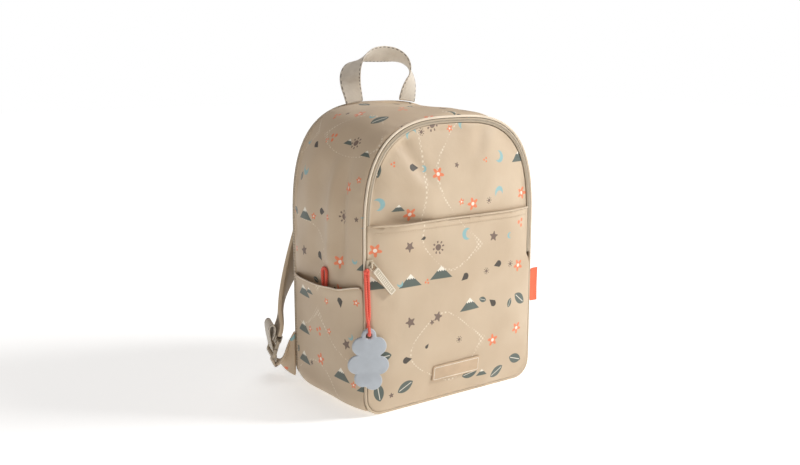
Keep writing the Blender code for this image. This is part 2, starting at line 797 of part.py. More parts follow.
def build_cloud_tag():
    data = bpy.data.curves.new("cloud_tag", "CURVE")
    data.dimensions = "2D"
    data.fill_mode = "BOTH"
    data.extrude = TAG_THICKNESS / 2
    turns = [2 * math.pi * k / LOBE_POINTS for k in range(LOBE_POINTS)]
    edge = [(lobe_reach(turn) * math.cos(turn), lobe_reach(turn) * math.sin(turn)) for turn in turns]
    rounds = [2 * math.pi * k / EYE_POINTS for k in range(EYE_POINTS)]
    eye_x, eye_z = EYE_LOBE[0] * TAG_LENGTH, EYE_LOBE[1] * TAG_LENGTH
    eye = [(eye_x + TAG_EYE_RADIUS * math.cos(a), eye_z + TAG_EYE_RADIUS * math.sin(a)) for a in rounds]
    for points in (edge, eye):
        spline = data.splines.new("POLY")
        spline.points.add(len(points) - 1)
        spline.use_cyclic_u = True
        for place, (x, z) in zip(spline.points, points):
            place.co = (x, z, 0, 1)
    piece = add_object("cloud_tag", data, "rubber")
    across, _ = tag_frame()
    centre = Vector((-TAG_SIDE, FRONT - TAG_OUT, tag_middle())) - across * eye_x
    upright = Matrix.Rotation(math.pi / 2, 4, "X")
    turned = Matrix.Rotation(-TAG_TURN, 4, "Z")
    piece.matrix_world = Matrix.Translation(centre) @ turned @ upright


def cord_points():
    """The cord's route: down one strand, through the tag's eye and up the other."""
    across, out = tag_frame()

    def at(x, away, height):
        share = (CORD_TOP_HEIGHT - height) / (CORD_TOP_HEIGHT - CORD_BEND[2])
        plumb = Vector((-TAG_SIDE, FRONT - mix(CORD_TOP_OUT, TAG_OUT, share), height))
        return tuple(plumb + across * x + out * away)

    down = [at(x, away, height) for x, away, height in CORD_STRAND]
    up = [at(-x, -away, height) for x, away, height in reversed(CORD_STRAND)]
    return smooth_rows([*down, at(*CORD_BEND), *up], steps=2)


def build_tag_cord():
    tube("tag_cord", cord_points(), TAG_CORD, "cord")


# Handle


def build_handle():
    """Webbing sewn in the top of the back seam, its face turning as it rises."""
    share = 1 - HANDLE_INSET / BODY_DEPTH
    deep = BACK - HANDLE_INSET
    foot_half = HANDLE_SPACING / 2
    stations = []
    rows = smooth_rows(HANDLE)
    sides = [(-1, row) for row in rows] + [(1, row) for row in reversed(rows[:-1])]
    route = []
    for side, (spread, rise, turn) in sides:
        base = top_height(share) + SEAM_GAP
        route.append((side, Vector((side * spread * foot_half, deep, base + rise * HANDLE_RISE)), turn))
    for index, (side, centre, turn) in enumerate(route):
        before = route[max(0, index - 1)][1]
        after = route[min(len(route) - 1, index + 1)][1]
        along = (after - before).normalized()
        if index in (0, len(route) - 1):
            along = Vector((0, 0, -side))
        outward = Vector((-along.z, 0, along.x))
        face = outward * math.cos(math.radians(turn)) + Vector((0, -1, 0)) * math.sin(math.radians(turn))
        stations.append((centre, along.cross(face).normalized(), WEBBING_WIDTH / 2))
    piece = ribbon("grab_handle", stations, WEBBING_THICKNESS, "webbing")
    seat_handle(piece, share)


def seat_handle(piece, share):
    """Sets the handle's two feet on the curved top of the body."""
    half, top = half_width(share), top_height(share)
    for corner in piece.data.vertices:
        if abs(corner.co.z - top - SEAM_GAP) < MERGE:
            up = 1 - (abs(corner.co.x) / half) ** ARCH_POWER
            corner.co.z = mix(ARCH_SPRING, top, up ** (1 / ARCH_POWER)) + SEAM_GAP


# Shoulder straps


def strap_stations(side):
    """The padded strap: flat on the back at the top, edge to the front where it meets the lock."""
    frame = lock_matrix(side)
    bars = frame.to_3x3() @ Vector((0, 0, 1))
    end = frame @ Vector((0, LOCK_LENGTH / 2 + STRAP_SEAM, 0))
    above = frame @ Vector((0, LOCK_LENGTH / 2 + STRAP_SEAM + LOCK_LENGTH / 2, 0))
    rows = []
    for up, spread, bow, turn, wide in STRAP:
        height = mix(end.z, STRAP_TOP_HEIGHT, up)
        across = spread * HALF
        edges = [across + step * STRAP_WIDTH * wide / 4 for step in (-2, -1, 0, 1, 2)]
        rest = max(back_out(min(edge, HALF), height) for edge in edges)
        out = rest + 2 * SEAM_GAP + STRAP_THICKNESS / 2 + STRAP_BOW * bow
        rows.append((side * across, BACK + out, height, turn, wide))
    rows.append((*above, 84.0, 0.68))
    rows.append((*end, 90.0, 0.60))
    stations = []
    for x, y, z, turn, wide in smooth_rows(rows, steps=3):
        angle = math.radians(turn)
        edge = Vector((side, 0, 0)) * math.cos(angle) + bars * math.sin(angle)
        stations.append((Vector((x, y, z)), edge.normalized(), STRAP_WIDTH * wide / 2))
    return stations


def build_straps():
    for name, side in (("shoulder_strap_left", -1), ("shoulder_strap_right", 1)):
        piece = ribbon(name, strap_stations(side), STRAP_THICKNESS, "webbing", across=3)
        round_edges(piece, STRAP_THICKNESS / 4, segments=1, angle=50)


def lock_matrix(side):
    """The ladder lock's frame: X through its thickness, Y up to the strap, Z along its bars."""
    centre = Vector((side * (HALF + LOCK_OUT), BACK + LOCK_BEHIND, LOCK_HEIGHT))
    turn = Matrix.Rotation(side * LOCK_TURN, 4, "Z")
    lean = Matrix.Rotation(-side * LOCK_LEAN, 4, "Y")
    tilt = Matrix.Rotation(LOCK_TILT, 4, "X")
    return Matrix.Translation(centre) @ turn @ lean @ tilt


def lock_slot():
    """Length of one of the lock's two slots, and how far its middle is from the lock's."""
    slot = (LOCK_LENGTH - 3 * LOCK_BAR) / 2
    return slot, (slot + LOCK_BAR) / 2


def web_clearance():
    return LOCK_THICKNESS / 2 + WEBBING_THICKNESS / 2 + SEAM_GAP


def build_locks():
    slot, middle = lock_slot()
    for name, side in (("ladder_lock_left", -1), ("ladder_lock_right", 1)):
        mesh = box_mesh(name, (LOCK_THICKNESS, LOCK_LENGTH, LOCK_WIDTH))
        piece = add_object(name, mesh, "buckle")
        piece.matrix_world = lock_matrix(side)
        round_edges(piece, LOCK_THICKNESS / 4, segments=2)
        for label, place in (("lower", -1), ("upper", 1)):
            size = (2 * LOCK_THICKNESS, slot, WEBBING_WIDTH + 2 * LOCK_PLAY)
            cut = box_mesh(f"{name}_{label}", size, (0, place * middle, 0))
            join_shapes(piece, cut, "DIFFERENCE", f"{name}_{label}_slot")


def band_through(name, side, rows, kind, thickness):
    """A web drawn in the lock's frame: out of it, up it and along its bars at each row."""
    frame = lock_matrix(side)
    bars = (frame.to_3x3() @ Vector((0, 0, 1))).normalized()
    stations = [
        (frame @ Vector((side * out, along, lift)), bars, WEBBING_WIDTH / 2) for out, along, lift in rows
    ]
    return ribbon(name, stations, thickness, kind)


def web_rows():
    """The adjusting web's middle line in the lock's frame."""
    clear = web_clearance()
    return [(out * clear, up * LOCK_LENGTH, along * WEBBING_WIDTH) for out, up, along in WEB]


def build_webbing():
    """The adjusting web: out through the lock's lower slot and up into a folded tail."""
    rows = smooth_rows(web_rows(), steps=2)
    for name, side in (("strap_webbing_left", -1), ("strap_webbing_right", 1)):
        band_through(name, side, rows, "webbing", WEBBING_THICKNESS)


def build_keepers():
    """A short web sewn in the strap's end, folded round the lock's upper bar."""
    turn = web_clearance() + SEAM_GAP
    fold = (LOCK_LENGTH - LOCK_BAR) / 2 - LOCK_BAR * KEEPER_DROP
    start = LOCK_LENGTH / 2 + STRAP_SEAM - SEAM_GAP
    half_turn = [math.pi * k / KEEPER_STEPS for k in range(KEEPER_STEPS + 1)]
    bend = [(-turn * math.cos(angle), fold - turn * math.sin(angle), 0.0) for angle in half_turn]
    rows = [(-turn, start, 0.0), *bend, (turn, start, 0.0)]
    for name, side in (("strap_keeper_left", -1), ("strap_keeper_right", 1)):
        band_through(name, side, rows, "webbing", WEBBING_THICKNESS)


def build_tabs():
    """A cloth tab from the back seam that turns up and narrows to the adjusting web."""
    out, up, along = web_rows()[0]
    for name, side in (("strap_tab_left", -1), ("strap_tab_right", 1)):
        frame = lock_matrix(side)
        end = frame @ Vector((side * out, up - SEAM_GAP, along))
        below = frame @ Vector((side * out, up - TAB_RISE, along))
        bars = (frame.to_3x3() @ Vector((0, 0, -1))).normalized()
        seam_x = side * (HALF + SEAM_GAP + TAB_THICKNESS / 2)
        seam = Vector((seam_x, BACK + BACK_PADDING / 2, TAB_FOOT_HEIGHT + TAB_HEIGHT / 2))
        stations = []
        for share in TAB_SHARES:
            centre = seam.lerp(below, share)
            edge = Vector((0, 0, -1)).lerp(bars, ease(share)).normalized()
            wide = mix(TAB_HEIGHT, WEBBING_WIDTH, math.sin(math.pi / 2 * share))
            stations.append((centre, edge, wide / 2))
        stations.append((end, bars, WEBBING_WIDTH / 2))
        ribbon(name, stations, TAB_THICKNESS, "cloth")


PARTS = None
CUTTERS = None


def main():
    global PARTS, CUTTERS
    clear_scene()
    PARTS = new_collection("kids_backpack")
    CUTTERS = new_collection("cutters")
    build_gusset()
    build_front_panel()
    build_front_pocket()
    build_back_panel()
    build_seam()
    build_zip_tape()
    build_slider()
    build_puller()
    build_patch()
    build_label()
    build_side_pockets()
    build_pocket_loop()
    build_cloud_tag()
    build_tag_cord()
    build_handle()
    build_straps()
    build_locks()
    build_webbing()
    build_keepers()
    build_tabs()


main()
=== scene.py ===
"""Dresses the kids backpack: sewn cloth, webbing, zip, moulded trims, floor, light and camera."""

from __future__ import annotations

import json
import logging
import math
from dataclasses import dataclass, field
from enum import Enum
from typing import Callable, Iterable, Sequence

import bmesh
import bpy
from mathutils import Matrix, Vector, noise

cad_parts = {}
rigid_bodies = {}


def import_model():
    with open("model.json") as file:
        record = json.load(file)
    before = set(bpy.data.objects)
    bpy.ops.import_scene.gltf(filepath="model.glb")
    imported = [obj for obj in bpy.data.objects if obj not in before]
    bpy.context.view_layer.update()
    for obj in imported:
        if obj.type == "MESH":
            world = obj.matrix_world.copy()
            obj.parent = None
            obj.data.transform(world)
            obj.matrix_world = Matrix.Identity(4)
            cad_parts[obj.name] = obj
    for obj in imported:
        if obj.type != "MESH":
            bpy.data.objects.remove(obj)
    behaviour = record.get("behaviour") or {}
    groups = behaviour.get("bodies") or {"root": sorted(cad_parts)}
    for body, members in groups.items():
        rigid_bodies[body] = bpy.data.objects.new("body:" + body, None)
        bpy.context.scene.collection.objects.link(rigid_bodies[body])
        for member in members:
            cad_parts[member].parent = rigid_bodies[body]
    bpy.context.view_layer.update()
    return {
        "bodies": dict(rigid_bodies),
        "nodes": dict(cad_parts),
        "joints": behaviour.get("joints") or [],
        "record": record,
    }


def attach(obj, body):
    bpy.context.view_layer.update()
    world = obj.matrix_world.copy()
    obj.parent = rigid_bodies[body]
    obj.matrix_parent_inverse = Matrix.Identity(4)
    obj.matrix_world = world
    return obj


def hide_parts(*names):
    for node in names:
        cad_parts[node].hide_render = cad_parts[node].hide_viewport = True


LOG = logging.getLogger("backpack")
Point = Sequence[float]
Place = Callable[[int, int], Point]

# Points closer than this are one point, in metres
WELD = 0.00001
# A point inside the bag that its cloth faces away from
BAG_MIDDLE = (0, 0, 0.16)
# Where the puller turns in the slider's bail
PULLER_AXIS = (-0.1142, -0.0769, 0.1700)


def mix(low: float, high: float, share: float) -> float:
    """Returns the value a share of the way from low to high."""
    return low + (high - low) * share


def ease(share: float) -> float:
    """Returns a share limited to 0 to 1 and smoothed at both ends."""
    share = min(1.0, max(0.0, share))
    return share * share * (3 - 2 * share)


def bump_at(value: float, centre: float, width: float) -> float:
    """Returns a bell curve's height at a value."""
    return math.exp(-(((value - centre) / width) ** 2))


def drift(size: float, x: float, z: float, seed: float) -> float:
    """Returns a soft swell of a size at a place, the same at every run."""
    return size * noise.noise(Vector((x, z, seed)))


def mesh_of(bm: bmesh.types.BMesh, name: str) -> bpy.types.Mesh:
    """Returns a bmesh written to a new mesh, and frees it."""
    mesh = bpy.data.meshes.new(name)
    bm.to_mesh(mesh)
    bm.free()
    return mesh


def route_lengths(points: Sequence[Vector]) -> list[float]:
    """Returns how far along a route each of its points lies."""
    lengths = [0.0]
    for first, second in zip(points, points[1:]):
        lengths.append(lengths[-1] + (second - first).length)
    return lengths


def outline_lengths(points: Sequence[Point]) -> list[float]:
    """Returns how far along a flat outline each of its points lies."""
    lengths = [0.0]
    for (x0, z0), (x1, z1) in zip(points, points[1:]):
        lengths.append(lengths[-1] + math.hypot(x1 - x0, z1 - z0))
    return lengths


def smooth_rows(rows: Sequence[Point], steps: int) -> list[tuple[float, ...]]:
    """Adds rows on a smooth curve between the given rows.

    Args:
        rows: rows of numbers.
        steps: how many rows stand for each of the given ones.

    Returns:
        The longer list of rows.
    """
    padded = [rows[0], *rows, rows[-1]]
    out = []
    for a, b, c, d in zip(padded, padded[1:], padded[2:], padded[3:]):
        for step in range(steps):
            t = step / steps
            out.append(
                tuple(
                    0.5 * (2 * q + (r - p) * t + (2 * p - 5 * q + 4 * r - s) * t**2
                           + (3 * q - p - 3 * r + s) * t**3)
                    for p, q, r, s in zip(a, b, c, d)
                )
            )
    return [*out, tuple(rows[-1])]


def read_table(rows: Sequence[Point], at: float) -> float:
    """Returns a table's second column read at a value of its first, with eased steps."""
    for (low, first), (high, second) in zip(rows, rows[1:]):
        if at <= high:
            return mix(first, second, ease((at - low) / (high - low)))
    return rows[-1][1]


class Wire:
    """A shader socket that Python expressions can work on."""

    def __init__(self, sheet: "Sheet", socket: bpy.types.NodeSocket) -> None:
        """Keeps the node sheet and the socket."""
        self.sheet = sheet
        self.socket = socket

    def apply(self, operation: str, *others: "Wire | float") -> "Wire":
        """Returns the result of a Math node on this value and the others."""
        return self.sheet.node("Math", [self, *others], operation=operation)

    def __add__(self, other: "Wire | float") -> "Wire":
        """Returns the sum."""
        return self.apply("ADD", other)

    def __sub__(self, other: "Wire | float") -> "Wire":
        """Returns the difference."""
        return self.apply("SUBTRACT", other)

    def __rsub__(self, other: float) -> "Wire":
        """Returns a number less this value."""
        return self.sheet.node("Math", [other, self], operation="SUBTRACT")

    def __mul__(self, other: "Wire | float") -> "Wire":
        """Returns the product."""
        return self.apply("MULTIPLY", other)

    __radd__ = __add__
    __rmul__ = __mul__

    def least(self, other: "Wire | float") -> "Wire":
        """Returns the smaller of two values."""
        return self.apply("MINIMUM", other)

    def most(self, other: "Wire | float") -> "Wire":
        """Returns the larger of two values."""
        return self.apply("MAXIMUM", other)

    def size(self) -> "Wire":
        """Returns the value without its sign."""
        return self.apply("ABSOLUTE")

    def step(self, low: float, high: float) -> "Wire":
        """Returns 0 below low, 1 above high and a smooth rise between them."""
        return self.sheet.node(
            "MapRange", [self, low, high, 0.0, 1.0], interpolation_type="SMOOTHSTEP", clamp=True
        )

    def inside(self, edge: float = 0.0, soft: float = 0.00025) -> "Wire":
        """Returns 1 where a distance is under an edge, with a soft rim."""
        return self.sheet.node(
            "MapRange", [self, edge - soft, edge + soft, 1.0, 0.0],
            interpolation_type="SMOOTHSTEP", clamp=True,
        )

    def between(self, low: float, high: float) -> "Wire":
        """Returns 1 where the value lies between two numbers."""
        return self.apply("GREATER_THAN", low) * self.apply("LESS_THAN", high)


class Sheet:
    """One material's node sheet, with a single method that adds any node."""

    def __init__(self, name: str) -> None:
        """Makes an empty material with a Principled shader."""
        self.material = bpy.data.materials.new(name)
        self.material.use_nodes = True
        self.tree = self.material.node_tree
        self.shader = self.tree.nodes["Principled BSDF"]

    def node(self, kind: str, values: Sequence[object] = (), out: int = 0, **settings: object) -> Wire:
        """Adds a shader node.

        Args:
            kind: the node's type without its prefix.
            values: numbers, colours or wires for its sockets in order, None to leave one.
            out: which of its outputs is wanted.
            **settings: settings that are set first.

        Returns:
            The wanted output.
        """
        made = self.tree.nodes.new("ShaderNode" + kind)
        for key, value in settings.items():
            setattr(made, key, value)
        live = [socket for socket in made.inputs if socket.enabled]
        for socket, value in zip(live, values):
            self.feed(socket, value)
        return Wire(self, [socket for socket in made.outputs if socket.enabled][out])

    def feed(self, socket: bpy.types.NodeSocket, value: object) -> None:
        """Links a wire to a socket or sets its value."""
        if isinstance(value, Wire):
            self.tree.links.new(value.socket, socket)
        elif value is not None:
            socket.default_value = value

    def blend(self, share: "Wire | float", first: object, second: object) -> Wire:
        """Returns a mix of two colours."""
        made = self.tree.nodes.new("ShaderNodeMix")
        made.data_type = "RGBA"
        self.feed(made.inputs[0], share)
        self.feed(made.inputs[6], first)
        self.feed(made.inputs[7], second)
        return Wire(self, made.outputs[2])

    def cloth_place(self) -> Wire:
        """Returns the piece's own cloth coordinates, in metres."""
        return self.node("UVMap", uv_map="cloth")

    def split(self, vector: Wire) -> tuple[Wire, Wire, Wire]:
        """Returns a vector's three parts."""
        made = self.tree.nodes.new("ShaderNodeSeparateXYZ")
        self.feed(made.inputs[0], vector)
        return tuple(Wire(self, made.outputs[k]) for k in range(3))

    def mottle(self, where: Wire, scale: float, detail: float = 2.0) -> Wire:
        """Returns a noise value from 0 to 1."""
        return self.node("TexNoise", [where, scale, detail, 0.5], noise_dimensions="3D")

    def relief(self, height: Wire, distance: float, strength: float = 1.0) -> Wire:
        """Returns a normal bent by a height field in metres."""
        made = self.tree.nodes.new("ShaderNodeBump")
        made.inputs["Strength"].default_value = strength
        made.inputs["Distance"].default_value = distance
        self.feed(made.inputs["Height"], height)
        return Wire(self, made.outputs[0])

    def finish(self, colour: object, roughness: object, normal: Wire | None = None,
               **fixed: float) -> bpy.types.Material:
        """Feeds the Principled shader.

        Args:
            colour: colour or wire.
            roughness: number or wire.
            normal: bump normal, if there is one.
            **fixed: values of other sockets, with underscores for spaces.

        Returns:
            The finished material.
        """
        self.feed(self.shader.inputs["Base Color"], colour)
        self.feed(self.shader.inputs["Roughness"], roughness)
        self.shader.inputs["Specular IOR Level"].default_value = 0.35
        if normal is not None:
            self.feed(self.shader.inputs["Normal"], normal)
        for key, value in fixed.items():
            self.shader.inputs[key.replace("_", " ")].default_value = value
        return self.material


def srgb(red: int, green: int, blue: int) -> tuple[float, float, float, float]:
    """Returns a linear colour from the usual 0 to 255 values."""
    parts = [value / 255 for value in (red, green, blue)]
    return (*[v / 12.92 if v <= 0.04045 else ((v + 0.055) / 1.055) ** 2.4 for v in parts], 1.0)


def dim(colour: Sequence[float], share: float) -> tuple[float, ...]:
    """Returns a colour darkened to a share of itself."""
    return (*[value * share for value in colour[:3]], 1.0)


@dataclass(frozen=True)
class Ink:
    """The inks of the print."""

    slate: tuple = srgb(74, 92, 88)
    charcoal: tuple = srgb(48, 46, 44)
    taupe: tuple = srgb(116, 96, 86)
    cream: tuple = srgb(252, 244, 228)
    teal: tuple = srgb(140, 186, 190)
    peach: tuple = srgb(238, 128, 84)


@dataclass(frozen=True)
class PrintedCloth:
    """Coated plain weave with small scattered motifs."""

    name: str
    ground: tuple = srgb(208, 188, 161)
    shade: tuple = srgb(199, 177, 149)
    cell: float = 0.041
    scatter: float = 0.36
    full_turns: float = 37.0
    ink_cover: float = 0.92
    trail_cover: float = 0.45
    trail_turn: float = 1150.0
    weave_turn: float = 7400.0
    weave_depth: float = 0.00003
    crease_depth: float = 0.0009
    ink: Ink = field(default_factory=Ink)

    def motifs(self, sheet: Sheet, where: Wire, colour: Wire, shift: tuple[float, float], scale: float,
               empty: float) -> Wire:
        """Lays one scatter of motifs over a colour.

        Args:
            sheet: the node sheet.
            where: cloth coordinates in metres.
            colour: the colour under the motifs.
            shift: where the scatter starts, in metres.
            scale: size of its motifs against the usual.
            empty: share of its cells that stay bare.

        Returns:
            The colour with its motifs.
        """
        ink = self.ink
        moved = sheet.node("VectorMath", [where, (*shift, 0.0)], operation="ADD")
        share = sheet.node("VectorMath", [moved, (1 / self.cell,) * 2 + (0.0,)], operation="MULTIPLY")
        corner = sheet.node("VectorMath", [share], operation="FLOOR")
        local = sheet.node("VectorMath", [share, corner], operation="SUBTRACT")
        dice = sheet.node("TexWhiteNoise", [corner], out=1, noise_dimensions="2D")
        pick, turn, push = sheet.split(dice)
        pick = pick + push.apply("LESS_THAN", empty) * 2.0
        u, v, _ = sheet.split(local)
        u = (u - 0.5 + (push - 0.5) * self.scatter) * (self.cell / scale)
        v = (v - 0.5 + (turn - 0.5) * self.scatter) * (self.cell / scale)
        angle = turn * self.full_turns
        cosine = angle.apply("COSINE")
        sine = angle.apply("SINE")
        x = u * cosine - v * sine
        y = u * sine + v * cosine
        reach = (x * x + y * y).apply("SQRT")
        way = sheet.node("Math", [y, x], operation="ARCTAN2")
        spread = x.size()
        flower = reach - 0.0042 - (way * 5.0).apply("COSINE") * 0.0016
        heart = reach - 0.0016
        leaf = ((spread + 0.0052) * (spread + 0.0052) + y * y).apply("SQRT") - 0.0098
        vein = (spread - 0.0003).most(y.size() - 0.0066)
        star = (reach - 0.0034 - (way * 5.0).apply("COSINE") * 0.0010
                - (way * 10.0).apply("COSINE") * 0.0003)
        bite = ((x - 0.0030) * (x - 0.0030) + y * y).apply("SQRT")
        moon = (reach - 0.0052).most(0.0042 - bite)
        hill = (u.size() * 0.95 + v - 0.0058).most(-0.0052 - v)
        snow = (u.size() * 0.95 + v - 0.0058).most(0.0016 - v + (u * 2600.0).apply("SINE") * 0.0005)
        side = (spread - 0.0026) * (spread - 0.0026)
        upper = (x * x + (y - 0.0044) * (y - 0.0044)).apply("SQRT")
        berries = (side + y * y).apply("SQRT").least(upper) - 0.0017
        drop = (reach - 0.0028).least((spread * 1.9 + y - 0.0064).most(0.0 - y))
        rays = (reach - 0.0058).most(0.0038 - reach).most((way * 8.0).apply("COSINE") * -0.004 + 0.0016)
        sun = (reach - 0.0028).least(rays)
        layers = (
            (0.00, 0.15, flower, ink.peach), (0.00, 0.15, heart, ink.cream),
            (0.15, 0.32, leaf, ink.slate), (0.15, 0.32, vein, ink.cream),
            (0.32, 0.42, star, ink.taupe), (0.42, 0.52, moon, ink.teal),
            (0.52, 0.68, hill, ink.slate), (0.52, 0.68, snow, ink.cream),
            (0.68, 0.80, berries, ink.peach), (0.80, 0.90, drop, ink.charcoal),
            (0.90, 1.01, sun, ink.taupe),
        )
        for low, high, shape, tint in layers:
            chosen = pick.between(low, high)
            colour = sheet.blend(shape.inside() * chosen * self.ink_cover, colour, tint)
        return colour

    def trail(self, sheet: Sheet, where: Wire, colour: Wire) -> Wire:
        """Returns the colour with dotted trails that wander between the motifs."""
        x, y, _ = sheet.split(where)
        wander = sheet.mottle(where, 9.0, 0.0)
        band = ((wander * 2.6).apply("FRACT") - 0.5).size().inside(0.009, 0.005)
        dot = ((x * self.trail_turn).apply("SINE") * (y * self.trail_turn).apply("SINE")).step(0.05, 0.25)
        return sheet.blend(band * dot * self.trail_cover, colour, self.ink.cream)

    def build(self) -> bpy.types.Material:
        """Returns the material."""
        sheet = Sheet(self.name)
        where = sheet.cloth_place()
        cloud = sheet.mottle(where, 14.0, 3.0)
        colour = sheet.blend(cloud.step(0.25, 0.8), self.ground, self.shade)
        colour = self.trail(sheet, where, colour)
        colour = self.motifs(sheet, where, colour, (0.013, 0.021), 1.3, 0.08)
        colour = self.motifs(sheet, where, colour, (0.2345, 0.1432), 0.7, 0.30)
        x, y, _ = sheet.split(where)
        weave = (x * self.weave_turn).apply("SINE") * (y * self.weave_turn).apply("SINE")
        crease = sheet.mottle(where, 60.0, 4.0)
        height = weave * self.weave_depth + crease * self.crease_depth
        normal = sheet.relief(height, 1.0, 0.5)
        rough = crease * 0.15 + 0.42
        return sheet.finish(colour, rough, normal, Sheen_Weight=0.15, Sheen_Roughness=0.5)


@dataclass(frozen=True)
class PlainCloth:
    """Unprinted cloth: a plain weave, or an open spacer mesh."""

    name: str
    ground: tuple
    pitch: float = 0.0009
    depth: float = 0.00012
    roughness: float = 0.75

    def build(self) -> bpy.types.Material:
        """Returns the material."""
        sheet = Sheet(self.name)
        where = sheet.cloth_place()
        x, y, _ = sheet.split(where)
        turn = 2 * math.pi / self.pitch
        weave = (x * turn).apply("SINE") * (y * turn).apply("SINE")
        cloud = sheet.mottle(where, 40.0, 3.0)
        dark = dim(self.ground, 0.80)
        colour = sheet.blend(cloud.step(0.2, 0.9) * 0.6 + weave.step(-0.2, 0.9) * 0.3, self.ground, dark)
        height = weave * self.depth + cloud * 0.0004
        normal = sheet.relief(height, 1.0, 0.6)
        return sheet.finish(colour, self.roughness, normal, Sheen_Weight=0.3, Sheen_Roughness=0.5)


@dataclass(frozen=True)
class Webbing:
    """Woven webbing, ribbed across, with a line of dashes near each edge."""

    name: str
    width: float
    ground: tuple = srgb(222, 213, 198)
    dash: tuple = srgb(84, 78, 72)
    dashed: bool = True
    rib_turn: float = 4200.0
    yarn_turn: float = 5200.0
    dash_inset: float = 0.0014
    dash_half: float = 0.0006
    dash_pitch: float = 0.0056

    def build(self) -> bpy.types.Material:
        """Returns the material."""
        sheet = Sheet(self.name)
        where = sheet.cloth_place()
        x, y, _ = sheet.split(where)
        rib = (x * self.rib_turn).apply("SINE")
        yarn = (y * self.yarn_turn).apply("SINE")
        cloud = sheet.mottle(where, 90.0, 2.0)
        dark = dim(self.ground, 0.82)
        colour = sheet.blend(cloud.step(0.3, 0.8) * 0.5 + rib.step(0.1, 1.0) * 0.35, self.ground, dark)
        if self.dashed:
            line = (y.size() - (self.width / 2 - self.dash_inset)).size().inside(self.dash_half, 0.0003)
            gap = (x * (2 * math.pi / self.dash_pitch)).apply("SINE").step(-0.2, 0.05)
            colour = sheet.blend(line * gap * 0.9, colour, self.dash)
        height = rib * 0.00010 + yarn * 0.00004 + cloud * 0.0002
        normal = sheet.relief(height, 1.0, 0.7)
        return sheet.finish(colour, 0.8, normal, Sheen_Weight=0.3)


@dataclass(frozen=True)
class ZipTape:
    """Zip tape over a coil: two woven edges and a ridge of teeth in the middle, with painted shade along the
    groove where the coil halves meet.
    """

    name: str
    ground: tuple = srgb(196, 180, 156)
    tooth_pitch: float = 0.0012
    coil_half: float = 0.0016

    def build(self) -> bpy.types.Material:
        """Returns the material."""
        sheet = Sheet(self.name)
        where = sheet.cloth_place()
        x, y, _ = sheet.split(where)
        # seam: the groove where the two coil halves meet, sunk and darkened as painted shade
        seam = y.size().inside(0.0004, 0.0002)
        tooth = (x * (2 * math.pi / self.tooth_pitch) + y.size() * 1500.0).apply("SINE")
        middle = y.size().inside(self.coil_half, 0.0005)
        dark = dim(self.ground, 0.55)
        colour = sheet.blend((seam * 0.8).most(tooth.step(0.0, 1.0) * middle * 0.5), self.ground, dark)
        height = tooth * middle * 0.00022 + middle * 0.0003 - seam * 0.0004
        return sheet.finish(colour, 0.7, sheet.relief(height, 1.0, 0.8), Sheen_Weight=0.2)


@dataclass(frozen=True)
class BraidedCord:
    """Braided cord with crossing plaits, with painted shade in the grooves between them."""

    name: str
    ground: tuple = srgb(248, 104, 84)
    pitch: float = 0.0026

    def build(self) -> bpy.types.Material:
        """Returns the material."""
        sheet = Sheet(self.name)
        where = sheet.cloth_place()
        x, y, _ = sheet.split(where)
        turn = 2 * math.pi / self.pitch
        one = ((x + y * 0.9) * turn).apply("SINE")
        other = ((x - y * 0.9) * turn).apply("SINE")
        plait = one.most(other)
        # dark: painted shade laid in the grooves between plaits, where the plait height is lowest
        dark = dim(self.ground, 0.82)
        colour = sheet.blend(plait.step(0.9, -0.2), self.ground, dark)
        return sheet.finish(colour, 0.6, sheet.relief(plait * 0.00016, 1.0, 0.8), Sheen_Weight=0.2)


@dataclass(frozen=True)
class Moulding:
    """Moulded rubber, plastic or painted metal with a fine grain and a soft mottle."""

    name: str
    ground: tuple
    roughness: float = 0.45
    grain: float = 1800.0
    depth: float = 0.00004
    metallic: float = 0.0

    def build(self) -> bpy.types.Material:
        """Returns the material."""
        sheet = Sheet(self.name)
        where = sheet.node("TexCoord", out=3)
        cloud = sheet.mottle(where, 55.0, 3.0)
        speck = sheet.mottle(where, self.grain, 2.0)
        dark = dim(self.ground, 0.88)
        colour = sheet.blend(cloud.step(0.3, 0.75), self.ground, dark)
        rough = speck * 0.12 + (self.roughness - 0.06)
        normal = sheet.relief(speck * self.depth + cloud * 0.0001, 1.0, 0.6)
        return sheet.finish(colour, rough, normal, Metallic=self.metallic)


class Finish(Enum):
    """The finishes that the pieces choose from."""

    PRINT = PrintedCloth("coated_print")
    TRIM = PlainCloth("seam_cloth", srgb(214, 194, 166), 0.0008, 0.00005, 0.55)
    # paler than the print it is folded from: painted highlight where light catches the rounded fold over the
    # zip and the rolled pocket hems
    FOLD = PlainCloth("fold_cloth_painted_highlight", srgb(238, 222, 198), 0.0008, 0.00005, 0.5)
    BACK = PlainCloth("back_mesh", srgb(196, 178, 152), 0.0032, 0.00060, 0.85)
    STRAP = PlainCloth("strap_weave", srgb(176, 158, 134), 0.0016, 0.00016, 0.85)
    WEB = Webbing("dashed_webbing", 0.025)
    ZIP = ZipTape("zip_tape_weave")
    CORD = BraidedCord("coral_cord")
    RIBBON = Webbing("ribbon_weave", 0.041, srgb(250, 118, 78), srgb(200, 80, 50), False)
    SILICONE = Moulding("grey_silicone", srgb(188, 195, 202), 0.3, depth=0.00002)
    CREAM = Moulding("cream_rubber", srgb(240, 230, 212), 0.5)
    PULL = Moulding("puller_rubber", srgb(206, 194, 172), 0.5)
    PATCH = Moulding("patch_rubber", srgb(206, 180, 150), 0.5)
    PLASTIC = Moulding("buckle_plastic", srgb(200, 186, 164), 0.4)
    PAINT = Moulding("slider_paint", srgb(205, 190, 165), 0.3, 900.0, 0.00002, 0.2)

    def material(self) -> bpy.types.Material:
        """Returns the finish's material, made on its first use."""
        ready = bpy.data.materials.get(self.value.name)
        return ready or self.value.build()


